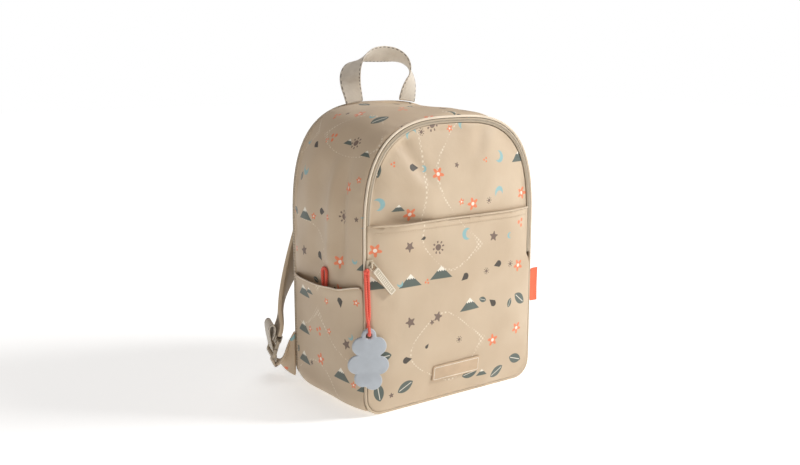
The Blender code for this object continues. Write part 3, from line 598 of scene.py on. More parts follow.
@dataclass
class Maker:
    """Makes pieces, hands them to the frame and reports them."""

    body: str = "bag"
    count: int = 0

    def adopt(self, mesh: bpy.types.Mesh, name: str, finish: Finish, slot: str,
              nodes: Iterable[str]) -> bpy.types.Object:
        """Turns a mesh into a piece of the bag.

        Args:
            mesh: the finished mesh.
            name: the piece's name.
            finish: what it is made of.
            slot: the record's slot; not used.
            nodes: the solids that it stands for.

        Returns:
            The piece.
        """
        piece = bpy.data.objects.new(name, mesh)
        bpy.context.scene.collection.objects.link(piece)
        mesh.materials.append(finish.material())
        mesh.shade_smooth()
        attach(piece, self.body)
        if nodes:
            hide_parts(*nodes)
        self.count += 1
        LOG.info("piece %s, %d faces", name, len(mesh.polygons))
        return piece

    def grid(self, columns: int, rows: int, place: Place, cloth: Place, away: Point,
             relief: Callable[[int, int], float] | None = None) -> bmesh.types.BMesh:
        """Shapes a grid into a cloth surface with its own cloth coordinates.

        Args:
            columns: faces along the grid.
            rows: faces across it.
            place: gives a corner's place.
            cloth: gives a corner's cloth coordinates, in metres.
            away: a point on the surface's inner side.
            relief: how far a corner moves out along its normal.

        Returns:
            The shaped mesh.
        """
        bm = bmesh.new()
        bmesh.ops.create_grid(bm, x_segments=columns, y_segments=rows, size=0.5)
        ids = {}
        for corner in bm.verts:
            ids[corner] = (round((corner.co.x + 0.5) * columns), round((corner.co.y + 0.5) * rows))
        layer = bm.loops.layers.uv.new("cloth")
        for face in bm.faces:
            for loop in face.loops:
                loop[layer].uv = Vector(cloth(*ids[loop.vert]))
        for corner, (column, row) in ids.items():
            corner.co = Vector(place(column, row))
        bm.normal_update()
        facing = sum(f.normal.dot(f.calc_center_median() - Vector(away)) * f.calc_area() for f in bm.faces)
        if facing < 0:
            bmesh.ops.reverse_faces(bm, faces=bm.faces)
            bm.normal_update()
        if relief is not None:
            moves = {corner: corner.normal * relief(*ids[corner]) for corner in bm.verts}
            for corner, move in moves.items():
                corner.co += move
        bmesh.ops.remove_doubles(bm, verts=bm.verts, dist=WELD)
        return bm

    def cloth_piece(self, bm: bmesh.types.BMesh, name: str, finish: Finish, slot: str, nodes: Iterable[str],
                    thickness: float, offset: float = -1.0, levels: int = 1) -> bpy.types.Object:
        """Gives a surface its thickness and smoothness and makes it a piece.

        Args:
            bm: the surface.
            name: the piece's name.
            finish: what it is made of.
            slot: the record's slot.
            nodes: the solids that it stands for.
            thickness: the cloth's thickness in metres.
            offset: -1 to grow inwards, 1 to grow outwards, 0 for both.
            levels: subdivision levels.

        Returns:
            The piece.
        """
        piece = self.adopt(mesh_of(bm, name), name, finish, slot, nodes)
        wall = piece.modifiers.new("wall", "SOLIDIFY")
        wall.thickness = thickness
        wall.offset = offset
        if levels:
            soft = piece.modifiers.new("soft", "SUBSURF")
            soft.levels = levels
            soft.render_levels = levels
        return piece

    def sweep(self, points: Sequence[Vector], radius: Callable[[float], tuple[float, float]], name: str,
              finish: Finish, slot: str, nodes: Iterable[str], around: int = 12,
              across: Callable[[int], Vector] | None = None, power: float = 2.0) -> bpy.types.Object:
        """Sweeps a rounded section along a route and closes its ends.

        Args:
            points: the route.
            radius: half sizes across and through the section at a share of the route.
            name: the piece's name.
            finish: what it is made of.
            slot: the record's slot.
            nodes: the solids that it stands for.
            around: corners round the section.
            across: the section's first direction at each point, if it is set.
            power: 2 for an ellipse, more for a squarer section.

        Returns:
            The piece.
        """
        count = len(points)
        ways = [(points[min(count - 1, k + 1)] - points[max(0, k - 1)]).normalized() for k in range(count)]
        sides = []
        side = ways[0].orthogonal().normalized()
        for k, way in enumerate(ways):
            side = across(k) if across is not None else side
            side = (side - way * side.dot(way)).normalized()
            sides.append(side)
        lengths = route_lengths(points)

        def place(column: int, row: int) -> Vector:
            wide, deep = radius(lengths[column] / lengths[-1])
            turn = 2 * math.pi * (row % around) / around
            c, s = math.cos(turn), math.sin(turn)
            x = wide * math.copysign(abs(c) ** (2 / power), c)
            y = deep * math.copysign(abs(s) ** (2 / power), s)
            return points[column] + sides[column] * x + ways[column].cross(sides[column]) * y

        def cloth(column: int, row: int) -> tuple[float, float]:
            wide, _ = radius(lengths[column] / lengths[-1])
            if power > 2.5:
                return (lengths[column], wide * math.cos(2 * math.pi * row / around))
            return (lengths[column], wide * 2 * math.pi * row / around)

        bm = self.grid(count - 1, around, place, cloth, points[count // 2])
        ends = [edge for edge in bm.edges if edge.is_boundary]
        bmesh.ops.holes_fill(bm, edges=ends, sides=0)
        bmesh.ops.recalc_face_normals(bm, faces=bm.faces)
        return self.adopt(mesh_of(bm, name), name, finish, slot, nodes)


def stitch_run(maker: Maker, route: Sequence[Vector], name: str, pitch: float = 0.0032) -> None:
    """Lays a row of short raised stitches along a route.

    Args:
        maker: what makes the piece.
        route: the seam's line.
        name: the piece's name.
        pitch: the length of one stitch and its gap.
    """
    bm = bmesh.new()
    layer = bm.loops.layers.uv.new("cloth")
    gone, nxt = 0.0, pitch / 2
    for first, second in zip(route, route[1:]):
        length = (second - first).length
        while length and nxt <= gone + length:
            spot = first.lerp(second, (nxt - gone) / length)
            turn = (second - first).to_track_quat("Z", "Y").to_matrix().to_4x4()
            made = bmesh.ops.create_icosphere(bm, subdivisions=1, radius=1.0)
            shape = Matrix.Translation(spot) @ turn @ Matrix.Diagonal((0.00032, 0.00032, pitch * 0.36, 1))
            bmesh.ops.transform(bm, matrix=shape, verts=made["verts"])
            nxt += pitch
        gone += length
    for face in bm.faces:
        for loop in face.loops:
            loop[layer].uv = (loop.vert.co.x, loop.vert.co.z)
    maker.adopt(mesh_of(bm, name), name, Finish.TRIM, "piping", [])


@dataclass
class BodyForm:
    """The bag's own outline, in metres, as its patterns are cut."""

    width: float = 0.240
    depth: float = 0.145
    front_height: float = 0.321
    back_height: float = 0.331
    spring: float = 0.185
    arch_power: float = 3.0
    corner: float = 0.022
    side_swell: float = 0.006
    top_swell: float = 0.003
    gap: float = 0.0003
    piping: float = 0.003
    crown: float = 0.010
    slot: float = 0.210
    pocket_cloth: float = 0.0016
    cloth: float = 0.002
    pocket_space: float = 0.006
    zip_end: float = 0.155
    tape: float = 0.005
    back_padding: float = 0.005
    back_crown: float = 0.006
    pocket_height: float = 0.130
    pocket_bulge: float = 0.007
    rim_fade: float = 0.012
    pocket_fade: float = 0.030
    wall_under_pocket: tuple = (0.94, 1.13)

    def __post_init__(self) -> None:
        """Works out the sizes that follow from the fields."""
        self.half = self.width / 2
        self.front = -self.depth / 2
        self.back = self.depth / 2
        self.wall_start = self.front + self.piping + self.gap
        self.wall_end = self.back - self.gap
        self.tape_inset = self.piping + self.gap
        self.zip_rim = self.tape_inset + self.tape + self.gap
        self.tuck_depth = self.pocket_cloth + self.gap

    def swell(self, share: float) -> float:
        """Returns how full the wall is at a share of the depth."""
        return 1 - (2 * share - 1) ** 4

    def half_width(self, share: float) -> float:
        """Returns half the body's width at a share of the depth."""
        return self.half + self.side_swell * self.swell(share)

    def top(self, share: float) -> float:
        """Returns the body's height at a share of the depth."""
        return mix(self.front_height, self.back_height, share) + self.top_swell * self.swell(share)

    def tuck(self, height: float) -> float:
        """Returns how far the wall lies in behind a side pocket."""
        full, none = (share * self.pocket_height for share in self.wall_under_pocket)
        low = min(1.0, max(0.0, height / self.corner))
        return self.tuck_depth * low * min(1.0, max(0.0, (none - height) / (none - full)))

    def right(self, half: float, top: float, inset: float, wall: bool = False) -> list[tuple[float, float]]:
        """Returns the outline from the middle of the base round to the middle of the top."""
        radius, flat = self.corner - inset, half - self.corner
        points = [(flat * k / 14, inset) for k in range(14)]
        turns = [math.pi / 2 * k / 8 for k in range(8)]
        points += [(flat + radius * math.sin(a), self.corner - radius * math.cos(a)) for a in turns]
        points += [(half - inset, mix(self.corner, self.spring, k / 26)) for k in range(26)]
        for k in range(37):
            angle = math.pi / 2 * k / 36
            across = (half - inset) * abs(math.cos(angle)) ** (2 / self.arch_power)
            rise = math.sin(angle) ** (2 / self.arch_power)
            points.append((across, mix(self.spring, top - inset, rise)))
        points[-1] = (0.0, top - inset)
        if wall:
            points = [(x - self.tuck(z) if x > flat else x, z) for x, z in points]
        return points

    def ring(self, half: float, top: float, inset: float, wall: bool = False) -> list[tuple[float, float]]:
        """Returns the whole outline, from the middle of the base anticlockwise."""
        side = self.right(half, top, inset, wall)
        return side + [(-x, z) for x, z in reversed(side[1:-1])]

    def reach(self, height: float, half: float, top: float, inset: float) -> float:
        """Returns half the outline's width at a height."""
        if height < self.corner:
            radius, drop = self.corner - inset, self.corner - height
            return half - self.corner + math.sqrt(max(0.0, radius**2 - drop**2))
        if height <= self.spring:
            return half - inset
        up = min(1.0, (height - self.spring) / (top - inset - self.spring))
        return (half - inset) * (1 - up**self.arch_power) ** (1 / self.arch_power)

    def crown_at(self, x: float, z: float, half: float, top: float, low: float, high: float,
                 inset: float) -> float:
        """Returns 0 on a panel's rim to 1 in its middle."""
        middle, reach = (low + top - high) / 2, (top - high - low) / 2
        width = max(WELD, self.reach(z, half, top, inset))
        across = max(0.0, 1 - abs(x / width) ** 4)
        return across * max(0.0, 1 - abs((z - middle) / reach) ** 4)

    def front_shape(self, x: float, z: float) -> float:
        """Returns the front's crown at a point."""
        share = ease((z - self.zip_end + self.rim_fade) / self.rim_fade)
        inset = mix(self.tape_inset, self.zip_rim, share)
        return self.crown_at(x, z, self.half, self.front_height, self.tape_inset, self.zip_rim, inset)

    def pocket_out(self, x: float, z: float) -> float:
        """Returns how far the front pocket stands out."""
        return self.crown * self.front_shape(x, z)

    def panel_out(self, x: float, z: float) -> float:
        """Returns how far the front panel stands out."""
        upper = ease((z - self.slot + self.pocket_fade) / self.pocket_fade)
        return (self.crown - self.pocket_space * (1 - upper)) * self.front_shape(x, z) - self.tuck_depth

    def back_out(self, x: float, z: float) -> float:
        """Returns how far the back panel stands out."""
        shape = self.crown_at(x, z, self.half, self.back_height, 0.0, 0.0, 0.0)
        return self.gap + self.back_padding + self.back_crown * shape


@dataclass
class Shell:
    """The sewn body: wall, front, pocket, back, seams and zip tape."""

    maker: Maker
    form: BodyForm
    depth_rows: int = 36
    rings: int = 26
    rim_reach: float = 0.12
    seam_fade: float = 0.004
    pucker_pitch: float = 0.0125
    pucker_fade: float = 0.009
    stitch_drop: float = 0.0085
    front_cloth: tuple = (0.40, 0.02)
    back_cloth: tuple = (0.1, 0.3)
    puller_across: float = 0.6087
    puller_down: float = 0.7934
    tape_rows: int = 6

    def rim_points(self, low: float) -> list[tuple[float, float]]:
        """Returns a front panel's rim, which draws in where the zip passes."""
        form = self.form
        wide = form.ring(form.half, form.front_height, low)
        narrow = form.ring(form.half, form.front_height, form.zip_rim)
        out = []
        for (x, z), (inner_x, inner_z) in zip(wide, narrow):
            share = ease((z - form.zip_end + form.rim_fade) / form.rim_fade)
            if x < 0:
                share *= mix(0.12, 1.0, ease((z - 0.215) / 0.055))
            out.append((mix(x, inner_x, share), mix(z, inner_z, share)))
        return out

    def pucker(self, along: float, away: float, size: float) -> float:
        """Returns the small waves that a seam pulls into the cloth beside it."""
        wave = math.sin(along * 2 * math.pi / self.pucker_pitch + drift(2.5, along * 22, 0, 3))
        return size * wave * math.exp(-away / self.pucker_fade)

    def build_wall(self) -> None:
        """Makes the wall that runs round the sides, the top and the base."""
        form, rows = self.form, self.depth_rows
        loops = []
        for row in range(rows + 1):
            share = 0.5 - 0.5 * math.cos(math.pi * row / rows)
            loops.append((share, form.ring(form.half_width(share), form.top(share), 0.0, wall=True)))
        count = len(loops[0][1])
        middle = loops[rows // 2][1]
        along = outline_lengths([*middle, middle[0]])

        def place(column: int, row: int) -> Point:
            share, ring = loops[row]
            x, z = ring[column % count]
            return (x, mix(form.wall_start, form.wall_end, share), z)

        def cloth(column: int, row: int) -> Point:
            return (-loops[row][0] * form.depth, along[count] - along[column])

        def relief(column: int, row: int) -> float:
            share, ring = loops[row]
            x, z = ring[column % count]
            deep = share * form.depth
            here = along[column % count]
            free = ease((z - 0.150) / 0.02)
            edge = min(deep, form.depth - deep)
            fixed = ease(edge / self.seam_fade)
            folds = bump_at(deep, 0.036, 0.008) - 0.7 * bump_at(deep, 0.054, 0.009)
            folds += 0.6 * bump_at(deep, 0.085, 0.016)
            valley = -0.0062 * folds * ease((form.front_height - 0.03 - z) / 0.05)
            waves = self.pucker(here, edge, 0.0007)
            soft = drift(0.0048, here * 11, deep * 16, 1.5) + drift(0.0016, here * 30, deep * 36, 7.5)
            return fixed * free * (valley + waves + soft - 0.0004) - (1 - free) * 0.0001

        bm = self.maker.grid(count, rows, place, cloth, BAG_MIDDLE, relief)
        self.maker.cloth_piece(bm, "side_wall", Finish.PRINT, "printed_cloth", ["gusset"], form.cloth)

    def panel(self, rim: list[tuple[float, float]], depth_at: Callable[[float, float], float],
              relief_at: Callable[[float, float, float], float], shift: Point) -> bmesh.types.BMesh:
        """Makes a round panel of rings that shrink from its rim.

        Args:
            rim: its rim.
            depth_at: its depth at a point.
            relief_at: how far it moves out, from a point and its share of the way in.
            shift: where its cloth coordinates start.

        Returns:
            The panel's surface.
        """
        count = len(rim)
        middle = (max(z for _, z in rim) + min(z for _, z in rim)) / 2

        def spot(column: int, row: int) -> tuple[float, float, float]:
            x, z = rim[column % count]
            ring = 1 - (row / self.rings) ** 1.35
            return x * ring, mix(middle, z, ring), ring

        def place(column: int, row: int) -> Point:
            x, z, _ = spot(column, row)
            return (x, depth_at(x, z), z)

        def cloth(column: int, row: int) -> Point:
            x, z, _ = spot(column, row)
            return (x + shift[0], z + shift[1])

        def relief(column: int, row: int) -> float:
            return relief_at(*spot(column, row))

        return self.maker.grid(count, self.rings, place, cloth, BAG_MIDDLE, relief)

    def build_front(self) -> None:
        """Makes the front panel, with the soft dents of cloth that hangs from its zip."""
        form = self.form

        def relief(x: float, z: float, ring: float) -> float:
            away = (1 - ring) * self.rim_reach
            soft = drift(0.0040, x * 14, z * 14, 4.2) + drift(0.0015, x * 34, z * 34, 2)
            dents = -0.0075 * bump_at(x, -0.074, 0.034) * bump_at(z + x * 0.20, 0.194, 0.016)
            dents += -0.0032 * bump_at(x + z * 0.6, 0.108, 0.011) * ease((z - 0.24) / 0.03)
            dents += -0.0024 * bump_at(x - 0.4 * z, -0.083, 0.010) * ease((z - 0.265) / 0.02)
            dents += 0.0024 * bump_at(x, -0.02, 0.05) * bump_at(z, 0.245, 0.02)
            fixed = ease(away / self.seam_fade)
            upper = ease((z - form.slot + 0.016) / 0.014)
            free = fixed * upper * (soft + dents + self.pucker(x * 0.8 + z * 1.1, away, 0.0007))
            near_slot = ease((z - form.slot + form.pocket_fade) / 0.012)
            sunk = min(0.0, self.pocket_relief(x, z, ring)) * near_slot
            return mix(min(free, sunk - 0.0007 * fixed), free, ease((z - form.slot) / 0.010))

        rim = self.rim_points(form.tuck_depth + form.cloth + 2 * form.gap)
        bm = self.panel(rim, lambda x, z: form.front - form.panel_out(x, z), relief, self.front_cloth)
        self.maker.cloth_piece(bm, "upper_front", Finish.PRINT, "printed_cloth", ["front_panel"], form.cloth,
                               levels=0)

    def under_puller(self, x: float, z: float) -> float:
        """Returns 1 where the zip's puller rests on the pocket, down to 0 beside it."""
        right, down = x - PULLER_AXIS[0], PULLER_AXIS[2] - z
        along = right * self.puller_across + down * self.puller_down
        aside = right * self.puller_down - down * self.puller_across
        past = max(0.0, abs(aside) - 0.0065, along - 0.0445, -0.0060 - along)
        return 1 - ease(past / 0.012)

    def pocket_relief(self, x: float, z: float, ring: float) -> float:
        """Returns how the front pocket's cloth strays from its smooth crown."""
        form = self.form
        away = (1 - ring) * self.rim_reach
        soft = drift(0.0036, x * 12 + 5, z * 12, 1.2) + drift(0.0014, x * 32, z * 32, 9)
        fold = -0.0030 * bump_at(z + 0.35 * x, 0.168, 0.010) * bump_at(x, -0.035, 0.035)
        lift = 0.0042 * bump_at(x, -0.072, 0.032) * ease((z - 0.180) / 0.03)
        edge = 0.0008 * ease((z - form.slot + 0.012) / 0.004)
        foot = -0.0006 * bump_at(z, 0.050, 0.006) * ease((0.1 - abs(x)) / 0.03)
        pressed = self.under_puller(x, z)
        calm = (1 - bump_at(x, 0, 0.040) * bump_at(z, 0.0345, 0.016)) * (1 - pressed)
        loose = (soft + fold + foot) * calm + lift + edge + self.pucker(x + z, away, 0.0004)
        return ease(away / self.seam_fade) * (loose - 0.0005 * pressed)

    def build_pocket(self) -> None:
        """Makes the front pocket, cut straight at its open top edge."""
        form = self.form
        rim = self.rim_points(form.tape_inset)
        bm = self.panel(rim, lambda x, z: form.front - form.pocket_out(x, z), self.pocket_relief,
                        self.front_cloth)
        bmesh.ops.bisect_plane(
            bm, geom=[*bm.verts, *bm.edges, *bm.faces], dist=WELD, plane_co=(0, 0, form.slot),
            plane_no=(0, 0, 1), clear_outer=True,
        )
        self.maker.cloth_piece(bm, "pocket_front", Finish.PRINT, "printed_cloth", ["front_pocket"],
                               form.pocket_cloth, levels=0)
        hem = self.front_line(form.slot - 0.0006, 0.0010)
        self.maker.sweep(hem, lambda _: (0.0009, 0.0010), "pocket_edge", Finish.TRIM, "printed_cloth", [], 8)
        seam = self.front_line(form.slot - self.stitch_drop, 0.0004)
        stitch_run(self.maker, seam, "pocket_topstitch")

    def front_line(self, z: float, out: float) -> list[Vector]:
        """Returns a level line across the front pocket's face."""
        form = self.form
        half = form.reach(z, form.half, form.front_height, form.zip_rim) - 0.0006
        points = []
        for k in range(81):
            x = mix(-half, half, k / 80)
            ring = min(1.0, abs(x) / half)
            stray = self.pocket_relief(x, z, ring)
            points.append(Vector((x, form.front - form.pocket_out(x, z) - stray - out, z)))
        return points

    def build_back(self) -> None:
        """Makes the padded back with its quilted channels."""
        form = self.form

        def relief(x: float, z: float, ring: float) -> float:
            away = (1 - ring) * self.rim_reach
            channel = bump_at(abs(x), 0.052, 0.0030) + bump_at(z, 0.105, 0.0030) + bump_at(z, 0.215, 0.0030)
            return ease(away / 0.006) * (-0.0026 * min(1.0, channel) - 0.0016 * bump_at(away, 0.012, 0.003))

        rim = form.ring(form.half, form.back_height, 0.0)
        bm = self.panel(rim, lambda x, z: form.back + form.back_out(x, z), relief, self.back_cloth)
        back = self.maker.cloth_piece(bm, "padded_back", Finish.BACK, "back_cloth", ["back_panel"],
                                      form.back_padding, levels=0)

    def seam_run(self, inset: float, upper: bool) -> list[tuple[float, float]]:
        """Returns the front seam's outline above or below the zip's ends."""
        form = self.form
        side = form.right(form.half, form.front_height, inset)
        if upper:
            run = [(x, z) for x, z in side if z > form.zip_end + 0.002 and x >= 0]
            run = [(form.half - inset, form.zip_end), *run]
            return [(-x, z) for x, z in run] + list(reversed(run[:-1]))
        run = [(x, z) for k, (x, z) in enumerate(side) if z < form.zip_end - 0.002 and k < 50]
        run.append((form.half - inset, form.zip_end - 0.0006))
        return [(-x, z) for x, z in reversed(run[1:])] + run

    def build_seams(self) -> None:
        """Makes the piping, the fold over the zip and the back seam's binding."""
        form = self.form
        deep = form.front + form.piping / 2
        radius = form.piping / 2
        lower = [Vector((x, deep, z)) for x, z in self.seam_run(radius + 0.0002, False)]
        self.maker.sweep(lower, lambda _: (radius, radius), "front_cord_piping", Finish.TRIM, "piping",
                         ["front_piping"], 14)
        upper = [Vector((x, deep, z)) for x, z in self.seam_run(radius, True)]
        # the fold's pale cloth is a painted highlight along its rounded edge
        self.maker.sweep(upper, lambda _: (radius, radius * 0.9), "zip_fold", Finish.FOLD, "piping",
                         ["zip_welt"], 14)
        ring = form.ring(form.half, form.back_height, 0.0017)
        back = [Vector((x, form.back + 0.0004, z)) for x, z in [*ring, ring[0]]]
        self.maker.sweep(back, lambda _: (0.0015, 0.0015), "back_binding", Finish.TRIM, "piping", [], 10)

    def build_tape(self) -> None:
        """Makes the zip's tape, with its coil under the middle."""
        form = self.form
        outer = self.seam_run(form.tape_inset, True)
        inner = self.seam_run(form.tape_inset + form.tape, True)
        along = outline_lengths(outer)

        def place(column: int, row: int) -> Point:
            share = row / self.tape_rows
            (x0, z0), (x1, z1) = outer[column], inner[column]
            ridge = 0.0006 * (1 - abs(2 * share - 1))
            return (mix(x0, x1, share), form.front + 0.0010 - ridge, mix(z0, z1, share))

        def cloth(column: int, row: int) -> Point:
            return (along[column], (row / self.tape_rows - 0.5) * form.tape)

        bm = self.maker.grid(len(outer) - 1, self.tape_rows, place, cloth, (0, 0.1, 0.16))
        self.maker.cloth_piece(bm, "zip_tape_band", Finish.ZIP, "zip_tape", ["zip_tape"], 0.001)

    def build(self) -> None:
        """Builds every piece of the sewn body."""
        self.build_wall()
        self.build_front()
        self.build_pocket()
        self.build_back()
        self.build_seams()
        self.build_tape()


@dataclass
class SidePockets:
    """The two open pockets on the sides, and the cord loop in the left one."""

    maker: Maker
    form: BodyForm
    columns: int = 44
    hem_rows: int = 26
    hem: tuple = ((0.0, 1.11), (0.25, 1.06), (0.5, 1.045), (1.0, 1.04))
    foot_share: float = 0.14
    loop_place: float = 0.45
    loop_cord: float = 0.0035
    loop_width: float = 0.012
    loop_rise: float = 0.021
    loop_foot: float = 0.010

    def spot(self, share: float, up: float) -> tuple[float, float, float]:
        """Returns a point of the left pocket's inner face.

        Args:
            share: the share of the depth.
            up: 0 at its foot to 1 at its hem.

        Returns:
            The point.
        """
        form = self.form
        hem = form.pocket_height * read_table(self.hem, share)
        half = form.half_width(share)
        deep = mix(form.wall_start, form.wall_end, share)
        if up < self.foot_share:
            angle = mix(math.pi / 4, math.pi / 2, up / self.foot_share)
            flat = half - form.corner
            height = form.corner * (1 - math.cos(angle))
            across = flat + (form.corner + form.gap) * math.sin(angle) - form.tuck(height)
            return (-across - form.gap, deep, height - form.gap * math.cos(angle))
        height = mix(form.corner, hem, (up - 0.14) / 0.86)
        bulge = form.pocket_bulge * math.sin(math.pi * share) * (height / hem) ** 2
        return (-(half - form.tuck(height) + form.gap + bulge), deep, height)

    def build_pocket(self, name: str, side: int) -> None:
        """Makes one pocket with its soft sag and its turned hem."""
        form, columns, rows = self.form, self.columns, self.hem_rows

        def place(column: int, row: int) -> Point:
            x, y, z = self.spot(column / columns, row / rows)
            return (-side * x, y, z)

        def cloth(column: int, row: int) -> Point:
            _, y, z = self.spot(column / columns, row / rows)
            return (0.7 + side * 0.9 + y, z)

        def relief(column: int, row: int) -> float:
            share, up = column / columns, row / rows
            edge = min(share, 1 - share) * form.depth
            soft = 0.0009 * (noise.noise(Vector((share * 3.1, up * 3.3, side))) + 0.35)
            hem = 0.0006 * ease((up - 0.93) / 0.02)
            waves = 0.0005 * math.sin(up * 62 + side) * math.exp(-edge / 0.008)
            return max(0.0, ease(edge / 0.005) * (soft + hem + waves))

        bm = self.maker.grid(columns, rows, place, cloth, (0, 0, 0.06), relief)
        self.maker.cloth_piece(bm, name + "_cloth", Finish.PRINT, "printed_cloth", [name],
                               form.pocket_cloth, offset=1.0)
        hem = []
        for column in range(1, 2 * columns):
            share = column / (2 * columns)
            x, y, z = self.spot(share, 1.0)
            stray = relief(column / 2, rows) + form.pocket_cloth
            hem.append(Vector((-side * (x - stray), y, z)))
        # the hem's pale cloth is a painted highlight along its rolled top
        self.maker.sweep(hem, lambda _: (0.0009, 0.0009), name + "_hem", Finish.FOLD, "printed_cloth", [], 8)

    def build_loop(self) -> None:
        """Makes the cord loop that stands out of the left pocket."""
        form = self.form
        share, cord = self.loop_place, self.loop_cord
        middle = mix(form.wall_start, form.wall_end, share)
        hem = form.pocket_height * read_table(self.hem, share)
        across = -(form.half_width(share) + form.gap + cord / 2)
        radius = (self.loop_width - cord) / 2
        top = hem + self.loop_rise - cord / 2 - radius
        foot = hem - self.loop_foot
        leg = [(-radius * mix(0.55, 1.0, ease(k / 9)), mix(foot, top, k / 9)) for k in range(9)]
        turns = [math.pi * k / 14 for k in range(15)]
        arch = [(-radius * math.cos(a), top + radius * math.sin(a)) for a in turns]
        back = [(-y, z) for y, z in reversed(leg)]
        points = [Vector((across, middle + y, z)) for y, z in leg + arch + back]
        self.maker.sweep(points, lambda _: (cord / 2, cord / 2), "loop_cord", Finish.CORD, "cord",
                         ["pocket_loop"], 12)

    def build(self) -> None:
        """Builds both pockets and the loop."""
        self.build_pocket("side_pocket_left", -1)
        self.build_pocket("side_pocket_right", 1)
        self.build_loop()


@dataclass
class Handle:
    """The webbing handle in the top of the back seam."""

    maker: Maker
    form: BodyForm
    width: float = 0.025
    thickness: float = 0.0014
    spacing: float = 0.077
    rise: float = 0.055
    inset: float = 0.004
    strips: int = 8
    rows: tuple = (
        (1.00, 0.00, 90.0), (1.06, 0.17, 84.0), (1.13, 0.36, 70.0), (1.14, 0.55, 48.0),
        (1.02, 0.74, 18.0), (0.74, 0.90, -18.0), (0.38, 0.98, -42.0), (0.00, 1.00, -50.0),
    )

    def build(self) -> None:
        """Builds the handle as one twisting band."""
        form = self.form
        share = 1 - self.inset / form.depth
        deep = form.back - self.inset
        rows = smooth_rows(self.rows, 8)
        sides = [(-1, row) for row in rows] + [(1, row) for row in reversed(rows[:-1])]
        base = form.top(share) + form.gap
        route = [(side, Vector((side * s * self.spacing / 2, deep, base + r * self.rise)), t)
                 for side, (s, r, t) in sides]
        half, top = form.half_width(share), form.top(share)
        bands = []
        for index, (side, centre, turn) in enumerate(route):
            along = (route[min(len(route) - 1, index + 1)][1] - route[max(0, index - 1)][1]).normalized()
            if index in (0, len(route) - 1):
                along = Vector((0, 0, -side))
            outward = Vector((-along.z, 0, along.x))
            face = outward * math.cos(math.radians(turn)) + Vector((0, -1, 0)) * math.sin(math.radians(turn))
            bands.append((centre, along.cross(face).normalized()))
        lengths = route_lengths([centre for centre, _ in bands])

        def place(column: int, row: int) -> Point:
            centre, across = bands[column]
            spot = centre + across * self.width * (row / self.strips - 0.5)
            if column in (0, len(bands) - 1):
                up = 1 - (abs(spot.x) / half) ** form.arch_power
                spot.z = mix(form.spring, top, up ** (1 / form.arch_power)) + form.gap
            return spot

        def cloth(column: int, row: int) -> Point:
            return (lengths[column], self.width * (row / self.strips - 0.5))

        bm = self.maker.grid(len(bands) - 1, self.strips, place, cloth, (0, 0.068, 0.30))
        self.maker.cloth_piece(bm, "carry_handle", Finish.WEB, "webbing", ["grab_handle"],
                               self.thickness, 0.0)


